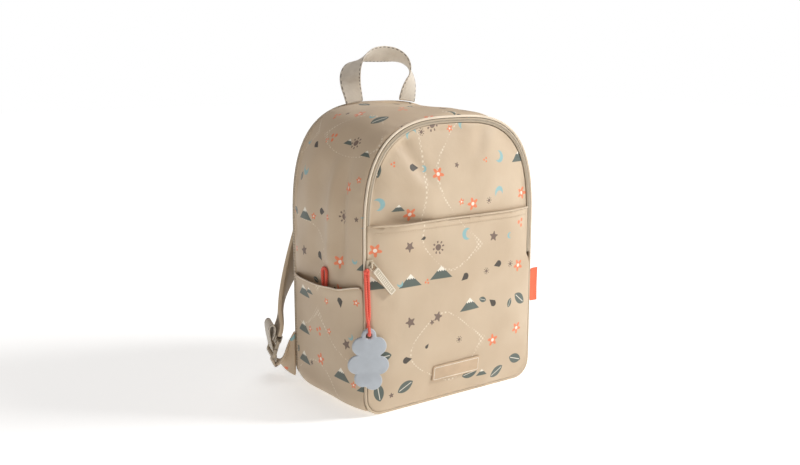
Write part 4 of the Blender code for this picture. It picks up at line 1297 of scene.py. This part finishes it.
@dataclass
class Straps:
    """The padded straps, their locks, webs, keepers and tabs."""

    maker: Maker
    form: BodyForm
    width: float = 0.046
    thickness: float = 0.007
    top_height: float = 0.310
    bow: float = 0.026
    seam: float = 0.0035
    web_width: float = 0.025
    web_thickness: float = 0.0014
    lock: tuple = (0.0045, 0.026, 0.032)
    bar: float = 0.0040
    lock_out: float = 0.0150
    lock_behind: float = 0.0325
    lock_height: float = 0.040
    turns: tuple = (96.0, 16.0, 14.0)
    tab_height: float = 0.058
    tab_foot: float = 0.006
    tab_thickness: float = 0.0030
    web_strips: int = 6
    rail_round: float = 0.0012
    rows: tuple = (
        (1.00, 0.350, 0.00, 0.0, 1.00), (0.91, 0.370, 0.16, 0.0, 1.00), (0.72, 0.470, 0.74, 4.0, 1.00),
        (0.50, 0.650, 1.00, 16.0, 0.98), (0.30, 0.860, 0.92, 38.0, 0.90), (0.15, 1.010, 0.84, 66.0, 0.80),
    )
    web: tuple = (
        (-1.60, -0.640, 0.00), (-1.32, -0.500, 0.00), (-1.10, -0.375, 0.00), (-0.74, -0.277, 0.00),
        (0.00, -0.212, 0.00), (0.74, -0.146, 0.00), (1.12, -0.040, 0.00), (1.80, 0.120, 0.00),
        (3.00, 0.400, 0.03), (4.20, 0.720, 0.07), (4.70, 0.950, 0.10), (4.30, 1.080, 0.11),
        (3.40, 1.100, 0.11), (2.60, 0.980, 0.10), (2.15, 0.760, 0.07), (2.05, 0.560, 0.05),
        (2.15, 0.400, 0.04),
    )

    def frame(self, side: int) -> Matrix:
        """Returns a lock's frame: X through it, Y up to the strap, Z along its bars."""
        tilt, lean, turn = (math.radians(value) for value in self.turns)
        centre = Vector((side * (self.form.half + self.lock_out), self.form.back + self.lock_behind,
                         self.lock_height))
        return (Matrix.Translation(centre) @ Matrix.Rotation(side * turn, 4, "Z")
                @ Matrix.Rotation(-side * lean, 4, "Y") @ Matrix.Rotation(tilt, 4, "X"))

    def clearance(self) -> float:
        """Returns how far a web's middle lies from the lock's middle plane."""
        return self.lock[0] / 2 + self.web_thickness / 2 + self.form.gap

    def strap_line(self, side: int) -> list[tuple[Vector, Vector, float]]:
        """Returns the strap's middle line, its direction across and its half width."""
        form, frame = self.form, self.frame(side)
        bars = frame.to_3x3() @ Vector((0, 0, 1))
        end = frame @ Vector((0, self.lock[1] / 2 + self.seam, 0))
        above = frame @ Vector((0, self.lock[1] + self.seam, 0))
        rows = []
        for up, spread, bow, turn, wide in self.rows:
            height = mix(end.z, self.top_height, up)
            across = spread * form.half
            edges = [across + step * self.width * wide / 4 for step in (-2, -1, 0, 1, 2)]
            rest = max(form.back_out(min(edge, form.half), height) for edge in edges)
            out = rest + 2 * form.gap + self.thickness / 2 + self.bow * bow
            rows.append((side * across, form.back + out, height, turn, wide))
        rows.append((*above, 84.0, 0.68))
        rows.append((*end, 90.0, 0.60))
        line = []
        for x, y, z, turn, wide in smooth_rows(rows, 9):
            angle = math.radians(turn)
            edge = Vector((side, 0, 0)) * math.cos(angle) + bars * math.sin(angle)
            line.append((Vector((x, y, z)), edge.normalized(), self.width * wide / 2))
        return line

    def build_strap(self, name: str, side: int) -> None:
        """Makes a strap: a crowned pad with a bound edge and two sewn lines."""
        line = self.strap_line(side)
        points = [row[0] for row in line]
        last = len(line) - 1

        def section(share: float) -> tuple[float, float]:
            half = line[min(last, round(share * last))][2]
            return (half - 0.0006, self.thickness / 2)

        strap = self.maker.sweep(points, section, name + "_pad", Finish.STRAP, "strap_cloth", [name], 28,
                                 lambda k: line[k][1], 3.2)
        for drop in (1, 4):
            spot, across, half = line[drop]
            lift = Vector((0, self.thickness / 2 + 0.0002, 0))
            run = [spot + lift + across * half * (k / 10 - 1) * 0.9 for k in range(21)]
            stitch_run(self.maker, run, f"{name}_bartack_{drop}", 0.0026)
        for edge, word in ((-1, "inner"), (1, "outer")):
            rim = [p + a * edge * (h - 0.0008) for p, a, h in line]
            self.maker.sweep(rim, lambda _: (0.0011, 0.0024), f"{name}_{word}_binding", Finish.TRIM,
                             "webbing", [], 10, lambda k: line[k][1], 2.4)

    def band(self, name: str, side: int, rows: Sequence[Point], nodes: Iterable[str]) -> None:
        """Makes a web drawn in the lock's frame: out of it, up it and along its bars."""
        frame = self.frame(side)
        bars = (frame.to_3x3() @ Vector((0, 0, 1))).normalized()
        points = [frame @ Vector((side * out, up, along)) for out, up, along in rows]
        lengths = route_lengths(points)

        def place(column: int, row: int) -> Point:
            return points[column] + bars * self.web_width * (row / self.web_strips - 0.5)

        def cloth(column: int, row: int) -> Point:
            return (lengths[column], self.web_width * (row / self.web_strips - 0.5))

        bm = self.maker.grid(len(points) - 1, self.web_strips, place, cloth, frame.translation)
        self.maker.cloth_piece(bm, name, Finish.WEB, "webbing", nodes, self.web_thickness, 0.0, 0)

    def build_webs(self, word: str, side: int) -> None:
        """Makes the adjusting web and the keeper of one side."""
        clear = self.clearance()
        rows = [(out * clear, up * self.lock[1], along * self.web_width) for out, up, along in self.web]
        self.band(f"adjusting_web_{word}", side, smooth_rows(rows, 4), [f"strap_webbing_{word}"])
        turn = clear + self.form.gap
        fold = (self.lock[1] - self.bar) / 2 - self.bar * 0.30
        start = self.lock[1] / 2 + self.seam - self.form.gap
        angles = [math.pi * k / 16 for k in range(17)]
        bend = [(-turn * math.cos(a), fold - turn * math.sin(a), 0.0) for a in angles]
        rows = [(-turn, start, 0.0), *bend, (turn, start, 0.0)]
        self.band(f"lock_keeper_{word}", side, rows, [f"strap_keeper_{word}"])

    def build_lock(self, word: str, side: int) -> None:
        """Makes a lock of rounded rails and bars."""
        thick, length, width = self.lock
        frame = self.frame(side)
        bm = bmesh.new()
        slot = (length - 3 * self.bar) / 2
        bars = [((0, place * (slot + self.bar), 0), (thick, self.bar, width)) for place in (-1, 0, 1)]
        rail = (width - self.bar) / 2 + 0.0006
        bars += [((0, 0, place * rail), (thick, length, self.bar - self.rail_round)) for place in (-1, 1)]
        for centre, size in bars:
            made = bmesh.ops.create_cube(bm, size=1.0)
            shape = frame @ Matrix.Translation(centre) @ Matrix.Diagonal((*size, 1.0))
            bmesh.ops.transform(bm, matrix=shape, verts=made["verts"])
            edges = list({edge for corner in made["verts"] for edge in corner.link_edges})
            bmesh.ops.bevel(bm, geom=edges, offset=self.rail_round, segments=4, profile=0.5,
                            affect="EDGES", material=-1)
        bmesh.ops.recalc_face_normals(bm, faces=bm.faces)
        mesh = mesh_of(bm, f"lock_{word}")
        self.maker.adopt(mesh, f"lock_{word}", Finish.PLASTIC, "buckle", [f"ladder_lock_{word}"])

    def build_tab(self, word: str, side: int) -> None:
        """Makes the cloth tab that turns up from the back seam to the web."""
        form = self.form
        clear = self.clearance()
        out, up = self.web[0][0] * clear, self.web[0][1] * self.lock[1]
        frame = self.frame(side)
        end = frame @ Vector((side * out, up - form.gap, 0))
        below = frame @ Vector((side * out, up - 0.007, 0))
        bars = (frame.to_3x3() @ Vector((0, 0, -1))).normalized()
        seam_x = side * (form.half + form.gap + self.tab_thickness / 2)
        seam = Vector((seam_x, form.back + form.back_padding / 2, self.tab_foot + self.tab_height / 2))
        line = []
        for k in range(17):
            share = k / 16
            edge = Vector((0, 0, -1)).lerp(bars, ease(share)).normalized()
            wide = mix(self.tab_height, self.web_width, math.sin(math.pi / 2 * share))
            line.append((seam.lerp(below, share), edge, wide / 2))
        line.append((end, bars, self.web_width / 2))

        def place(column: int, row: int) -> Point:
            centre, edge, half = line[column]
            return centre + edge * half * (row / 4 - 1)

        def cloth(column: int, row: int) -> Point:
            centre, _, half = line[column]
            return (1.4 + centre.y, 0.3 + side * 0.2 + half * (row / 4 - 1))

        bm = self.maker.grid(len(line) - 1, 8, place, cloth, (0, 0.05, 0.04))
        self.maker.cloth_piece(bm, f"web_tab_{word}", Finish.PRINT, "printed_cloth", [f"strap_tab_{word}"],
                               self.tab_thickness, 0.0)

    def build(self) -> None:
        """Builds both sides."""
        for word, side in (("left", -1), ("right", 1)):
            self.build_strap(f"shoulder_strap_{word}", side)
            self.build_webs(word, side)
            self.build_lock(word, side)
            self.build_tab(word, side)


@dataclass
class Trims:
    """The patch, the label, the slider, the puller, the tag and its cord."""

    maker: Maker
    form: BodyForm
    patch: tuple = (0.068, 0.0015, 0.0185)
    patch_height: float = 0.0345
    label: tuple = (0.012, 0.0010, 0.041)
    label_height: float = 0.1135
    cord: float = 0.0031
    tag_thickness: float = 0.0036
    tag_out: float = 0.0058
    tag_side: float = 0.1185
    tag_turn: float = 20.0
    eye_height: float = 0.0945
    eye_radius: float = 0.0033
    tag_length: float = 0.068
    cord_top: float = 0.1640
    cord_top_out: float = 0.0021
    puller_way: tuple = (0.6063, -0.0889, -0.7902)
    puller_hinge: tuple = (0.7934, 0.0, 0.6088)
    puller_reach: tuple = (0.0075, 0.0412)
    puller_lift: float = 0.0017
    ribs: int = 11
    rib_pitch: float = 0.0024
    rib: tuple = (0.0038, 0.0011, 0.0008)
    knot_place: tuple = (-0.0004, -0.0036, 0.1632)
    knot_cord: float = 0.0011
    knot_wave: float = 0.0012
    knot_loops: tuple = ((25, 0.0025), (-35, 0.0024), (88, 0.0022))
    cord_bend: float = 0.0952
    label_rows: int = 14
    eye_lobe: tuple = (0.01, 0.435, 0.118)
    lobes: tuple = (
        (0.00, 0.00, 0.215), (-0.11, 0.27, 0.150), (0.14, 0.25, 0.152), (-0.18, -0.02, 0.152),
        (0.18, -0.06, 0.150), (-0.085, -0.25, 0.143), (0.075, -0.31, 0.145), (0.01, 0.435, 0.118),
    )
    strand: tuple = (
        (-0.0017, 0.0000, 0.1640), (-0.0017, 0.0001, 0.1560), (-0.0017, 0.0002, 0.1450),
        (-0.0017, 0.0003, 0.1330), (-0.0017, 0.0006, 0.1220), (-0.0015, 0.0015, 0.1140),
        (-0.0009, 0.0028, 0.1080), (-0.0003, 0.0037, 0.1030), (0.0000, 0.0038, 0.0978),
        (0.0000, 0.0033, 0.0960), (0.0000, 0.0018, 0.0953),
    )

    def directions(self) -> tuple[Vector, Vector]:
        """Returns the tag's own across and out directions."""
        turn = math.radians(self.tag_turn)
        return (Vector((math.cos(turn), -math.sin(turn), 0)), Vector((-math.sin(turn), -math.cos(turn), 0)))

    def build_cord(self) -> None:
        """Makes the doubled cord that the tag hangs on, the tag, and the knot at the slider."""
        across, out = self.directions()
        bend = self.cord_bend

        def at(x: float, away: float, z: float) -> tuple[float, ...]:
            share = (self.cord_top - z) / (self.cord_top - bend)
            lie = self.form.front - mix(self.cord_top_out, self.tag_out, share)
            plumb = Vector((-self.tag_side, lie, z))
            return tuple(plumb + across * x + out * away)

        down = [at(x, a, z) for x, a, z in self.strand]
        up = [at(-x, -a, z) for x, a, z in reversed(self.strand)]
        points = [Vector(p) for p in smooth_rows([*down, at(0.0, 0.0, bend), *up], 4)]
        piece = self.maker.sweep(points, lambda _: (self.cord / 2, self.cord / 2), "hanging_cord",
                                 Finish.CORD, "cord", ["tag_cord"], 12)
        tag = self.build_tag()
        self.build_knot()

    def build_knot(self) -> None:
        """Makes the knot at the cord's top as three crossed turns."""
        right, away, height = self.knot_place
        centre = Vector((-self.tag_side + right, self.form.front + away, height))
        angles = [2 * math.pi * step / 24 for step in range(25)]
        for k, (tilt, size) in enumerate(self.knot_loops):
            turn = (Matrix.Rotation(math.radians(tilt), 3, "Y")
                    @ Matrix.Rotation(math.radians(18 * k), 3, "X"))
            loop = []
            for a in angles:
                wave = self.knot_wave * math.sin(2 * a + k)
                loop.append(centre + turn @ Vector((size * math.cos(a), wave, size * 0.8 * math.sin(a))))
            self.maker.sweep(loop, lambda _: (self.knot_cord, self.knot_cord), f"cord_knot_{k}",
                             Finish.CORD, "cord", [], 8)

    def outline_at(self, angle: float) -> float:
        """Returns the cloud's reach from its middle along an angle."""
        ray = Vector((math.cos(angle), math.sin(angle)))
        reach = 0.0
        for x, z, radius in self.lobes:
            along, aside = x * ray.x + z * ray.y, x * ray.y - z * ray.x
            if abs(aside) < radius and along + radius > 0:
                reach = max(reach, along + math.sqrt(radius**2 - aside**2))
        return reach * self.tag_length

    def flat_shape(self, name: str, loops: Sequence[Sequence[Point]], half: float,
                   rim: float) -> bpy.types.Mesh:
        """Returns a flat form with holes and rounded rims, as a mesh.

        Args:
            name: the mesh's name.
            loops: its outline and its holes.
            half: half its thickness.
            rim: the radius of its rims.

        Returns:
            The mesh.
        """
        data = bpy.data.curves.new(name, "CURVE")
        data.dimensions = "2D"
        data.fill_mode = "BOTH"
        data.extrude = half - rim
        data.bevel_depth = rim
        data.bevel_resolution = 3
        data.offset = -rim
        for points in loops:
            spline = data.splines.new("POLY")
            spline.points.add(len(points) - 1)
            spline.use_cyclic_u = True
            for corner, (x, z) in zip(spline.points, points):
                corner.co = (x, z, 0, 1)
        holder = bpy.data.objects.new(name, data)
        bpy.context.scene.collection.objects.link(holder)
        graph = bpy.context.evaluated_depsgraph_get()
        mesh = bpy.data.meshes.new_from_object(holder.evaluated_get(graph))
        bpy.data.objects.remove(holder, do_unlink=True)
        bm = bmesh.new()
        bm.from_mesh(mesh)
        bmesh.ops.remove_doubles(bm, verts=bm.verts, dist=WELD)
        bmesh.ops.recalc_face_normals(bm, faces=bm.faces)
        bm.to_mesh(mesh)
        bm.free()
        return mesh

    def build_tag(self) -> bpy.types.Object:
        """Makes the moulded cloud with its soft rims, and returns it."""
        length = self.tag_length
        turns = [2 * math.pi * k / 220 for k in range(220)]
        edge = [(self.outline_at(t) * math.cos(t), self.outline_at(t) * math.sin(t)) for t in turns]
        eye_x, eye_z = self.eye_lobe[0] * length, self.eye_lobe[1] * length
        eye = [
            (eye_x + self.eye_radius * math.cos(t), eye_z + self.eye_radius * math.sin(t))
            for t in turns[::8]
        ]
        across, _ = self.directions()
        middle = self.eye_height - self.eye_lobe[1] * length
        centre = Vector((-self.tag_side, self.form.front - self.tag_out, middle)) - across * eye_x
        place = (Matrix.Translation(centre) @ Matrix.Rotation(-math.radians(self.tag_turn), 4, "Z")
                 @ Matrix.Rotation(math.pi / 2, 4, "X"))
        mesh = self.flat_shape("cloud", [edge, eye], self.tag_thickness / 2, 0.0015)
        mesh.transform(place)
        tag = self.maker.adopt(mesh, "moulded_cloud", Finish.SILICONE, "tag", ["cloud_tag"])
        self.crease(mesh)
        return tag

    def crease(self, mesh: bpy.types.Mesh) -> None:
        """Keeps the flats flat beside their rounded rims."""
        mesh.set_sharp_from_angle(angle=math.radians(40))

    def build_patch(self) -> None:
        """Makes the bare patch with its rounded corners and raised border."""
        form = self.form
        wide, thick, tall = self.patch
        low, high = self.patch_height - tall / 2, self.patch_height + tall / 2
        low_out, high_out = form.pocket_out(0, low), form.pocket_out(0, high)
        lean = math.atan2(high_out - low_out, tall)
        seat = max(form.pocket_out(0, self.patch_height), (low_out + high_out) / 2) + 0.0004 + thick / 2
        place = (Matrix.Translation((0, form.front - seat, self.patch_height))
                 @ Matrix.Rotation(lean, 4, "X") @ Matrix.Rotation(math.pi / 2, 4, "X"))
        plate = self.flat_shape("patch", [self.rounded(wide, tall, 0.0022)], thick / 2 - 0.00015, 0.0004)
        plate.transform(place)
        self.crease(plate)
        self.maker.adopt(plate, "front_badge", Finish.PATCH, "patch", ["front_patch"])
        loops = [self.rounded(wide - 0.0032, tall - 0.0032, 0.0014),
                 self.rounded(wide - 0.0048, tall - 0.0048, 0.0008)]
        rim = self.flat_shape("patch_rim", loops, thick / 2 + 0.0001, 0.0002)
        rim.transform(place)
        self.crease(rim)
        self.maker.adopt(rim, "front_badge_border", Finish.CREAM, "patch", [])

    def build_label(self) -> None:
        """Makes the label: a ribbon folded on itself and sewn in the seam."""
        wide, thick, tall = self.label
        start = self.form.half + self.form.gap
        reach = wide - thick / 2
        tip = start + reach
        out = [(start, -1), (start + reach * 0.5, -1), (start + reach * 0.97, -1),
               (tip + thick * 0.35, -0.6), (tip + thick * 0.5, 0)]
        route = out + [(x, -side) for x, side in reversed(out[:-1])]
        deep = self.form.front + self.form.piping / 2

        def place(column: int, row: int) -> Point:
            x, side = route[column]
            belly = 0.0006 * math.sin(math.pi * min(1.0, (x - start) / wide))
            sway = 0.0005 * math.sin(math.pi * row / self.label_rows)
            lie = deep + side * thick * 0.26 + belly + sway
            return (x, lie, self.label_height + tall * (row / self.label_rows - 0.5))

        def cloth(column: int, row: int) -> Point:
            return (route[column][0] + column * 0.001, tall * (row / self.label_rows - 0.5))

        bm = self.maker.grid(len(route) - 1, self.label_rows, place, cloth, (start, deep, self.label_height))
        self.maker.cloth_piece(bm, "ribbon_label", Finish.RIBBON, "label", ["side_label"], 0.0004, -1.0)

    def rounded(self, wide: float, tall: float, radius: float) -> list[tuple[float, float]]:
        """Returns a rectangle with rounded corners."""
        x, z = wide / 2 - radius, tall / 2 - radius
        out = []
        for k, (sx, sz) in enumerate(((1, 1), (-1, 1), (-1, -1), (1, -1))):
            for step in range(9):
                turn = math.pi / 2 * (k + step / 8)
                out.append((sx * x + radius * math.cos(turn), sz * z + radius * math.sin(turn)))
        return out

    def build_puller_relief(self) -> None:
        """Makes the raised border and the grip ribs on the puller's face."""
        along = Vector(self.puller_way).normalized()
        hinge = Vector(self.puller_hinge).normalized()
        face = hinge.cross(along).normalized()
        face = face if face.y < 0 else -face
        start = Vector(PULLER_AXIS)
        middle = start + along * (self.puller_reach[0] + self.puller_reach[1]) / 2
        turned = Matrix((hinge, along, face)).transposed().to_4x4()
        place = Matrix.Translation(middle + face * self.puller_lift) @ turned
        tall = self.puller_reach[1] - self.puller_reach[0]
        loops = [self.rounded(0.0076, tall, 0.0012), self.rounded(0.0054, tall - 0.0022, 0.0007)]
        rim = self.flat_shape("puller_rim", loops, 0.0004, 0.00015)
        bm = bmesh.new()
        bm.from_mesh(rim)
        for k in range(self.ribs):
            made = bmesh.ops.create_cube(bm, size=1.0)
            place_along = (k - self.ribs // 2) * self.rib_pitch
            spot = Matrix.Translation((0, place_along, 0)) @ Matrix.Diagonal((*self.rib, 1))
            bmesh.ops.transform(bm, matrix=spot, verts=made["verts"])
        bm.transform(place)
        bm.to_mesh(rim)
        bm.free()
        self.crease(rim)
        self.maker.body = "puller"
        self.maker.adopt(rim, "puller_border", Finish.CREAM, "puller", [])
        self.maker.body = "bag"

    def dress_nodes(self) -> None:
        """Gives the solids that stay their finish."""
        for node, finish in (("zip_slider", Finish.PAINT), ("zip_puller", Finish.PULL)):
            solid = bpy.data.objects[node]
            for slot in solid.material_slots:
                slot.material = finish.material()
            LOG.info("solid %s dressed", node)

    def build(self) -> None:
        """Builds every trim."""
        self.build_cord()
        self.build_patch()
        self.build_label()
        self.build_puller_relief()
        self.dress_nodes()


@dataclass
class Studio:
    """The floor, the lights and the camera."""

    sensor: float = 36
    focal_pixels: float = 919
    photo_pixels: float = 800
    place: tuple = (-0.637, -0.8525, 0.382)
    yaw: float = 35.83
    pitch: float = 10.76
    floor_size: float = 6.0
    floor_drop: float = 0.0002
    near_glow: tuple = (0.48, 0.49, 0.49, 1.0)
    far_glow: tuple = (0.86, 0.87, 0.87, 1.0)
    surround: tuple = (0.200, 0.174, 0.160, 1.0)
    lamps: tuple = (
        ("key", (1.5, -1.1, 1.4), 39.0, 0.6),
        ("fill", (-1.5, -0.9, 1.1), 1.5, 0.4),
        ("top", (0.2, 0.2, 2.0), 8.0, 0.8),
    )

    def build_camera(self) -> None:
        """Sets the camera at the photograph's angle."""
        data = bpy.data.cameras.new("camera")
        data.lens = self.focal_pixels / self.photo_pixels * self.sensor
        data.sensor_width = self.sensor
        camera = bpy.data.objects.new("camera", data)
        camera.location = self.place
        camera.rotation_euler = (math.radians(90 - self.pitch), 0, -math.radians(self.yaw))
        bpy.context.scene.collection.objects.link(camera)
        bpy.context.scene.camera = camera

    def lamp(self, name: str, place: Point, power: float, size: float) -> None:
        """Adds a soft square light that looks at the bag's middle."""
        data = bpy.data.lights.new(name, "AREA")
        data.energy = power
        data.size = size
        light = bpy.data.objects.new(name, data)
        light.location = place
        light.rotation_euler = (Vector(BAG_MIDDLE) - Vector(place)).to_track_quat("-Z", "Y").to_euler()
        bpy.context.scene.collection.objects.link(light)

    def build(self) -> None:
        """Builds the floor, the lights and the white surround."""
        self.build_camera()
        bm = bmesh.new()
        bmesh.ops.create_grid(bm, x_segments=1, y_segments=1, size=self.floor_size)
        mesh = mesh_of(bm, "floor")
        sheet = Sheet("floor_paint")
        place = sheet.node("TexCoord", out=3)
        away = sheet.node("VectorMath", [place], operation="LENGTH")
        glow = sheet.blend(away.step(0.25, 2.2), self.near_glow, self.far_glow)
        sheet.feed(sheet.shader.inputs["Emission Color"], glow)
        mesh.materials.append(sheet.finish((0.93, 0.93, 0.93, 1.0), 0.9, Emission_Strength=1.0))
        floor = bpy.data.objects.new("floor", mesh)
        floor.location.z = -self.floor_drop
        bpy.context.scene.collection.objects.link(floor)
        world = bpy.data.worlds.new("surround")
        bpy.context.scene.world = world
        world.use_nodes = True
        tree = world.node_tree
        ray = tree.nodes.new("ShaderNodeLightPath")
        level = tree.nodes.new("ShaderNodeMix")
        level.data_type = "RGBA"
        level.inputs[6].default_value = self.surround
        level.inputs[7].default_value = (1.0, 1.0, 1.0, 1.0)
        tree.links.new(ray.outputs["Is Camera Ray"], level.inputs[0])
        tree.links.new(level.outputs[2], tree.nodes["Background"].inputs[0])
        for name, spot, power, size in self.lamps:
            self.lamp(name, spot, power, size)
        bpy.context.scene.view_settings.view_transform = "Standard"


def main() -> None:
    """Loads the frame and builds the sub-assemblies in order."""
    logging.basicConfig(level=logging.INFO, format="%(message)s")
    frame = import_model()
    LOG.info("frame with %d solids", len(frame["nodes"]))
    maker = Maker()
    form = BodyForm()
    Studio().build()
    Trims(maker, form).build()
    Shell(maker, form).build()
    SidePockets(maker, form).build()
    Handle(maker, form).build()
    Straps(maker, form).build()
    LOG.info("%d pieces made", maker.count)


if __name__ == "__main__":
    main()
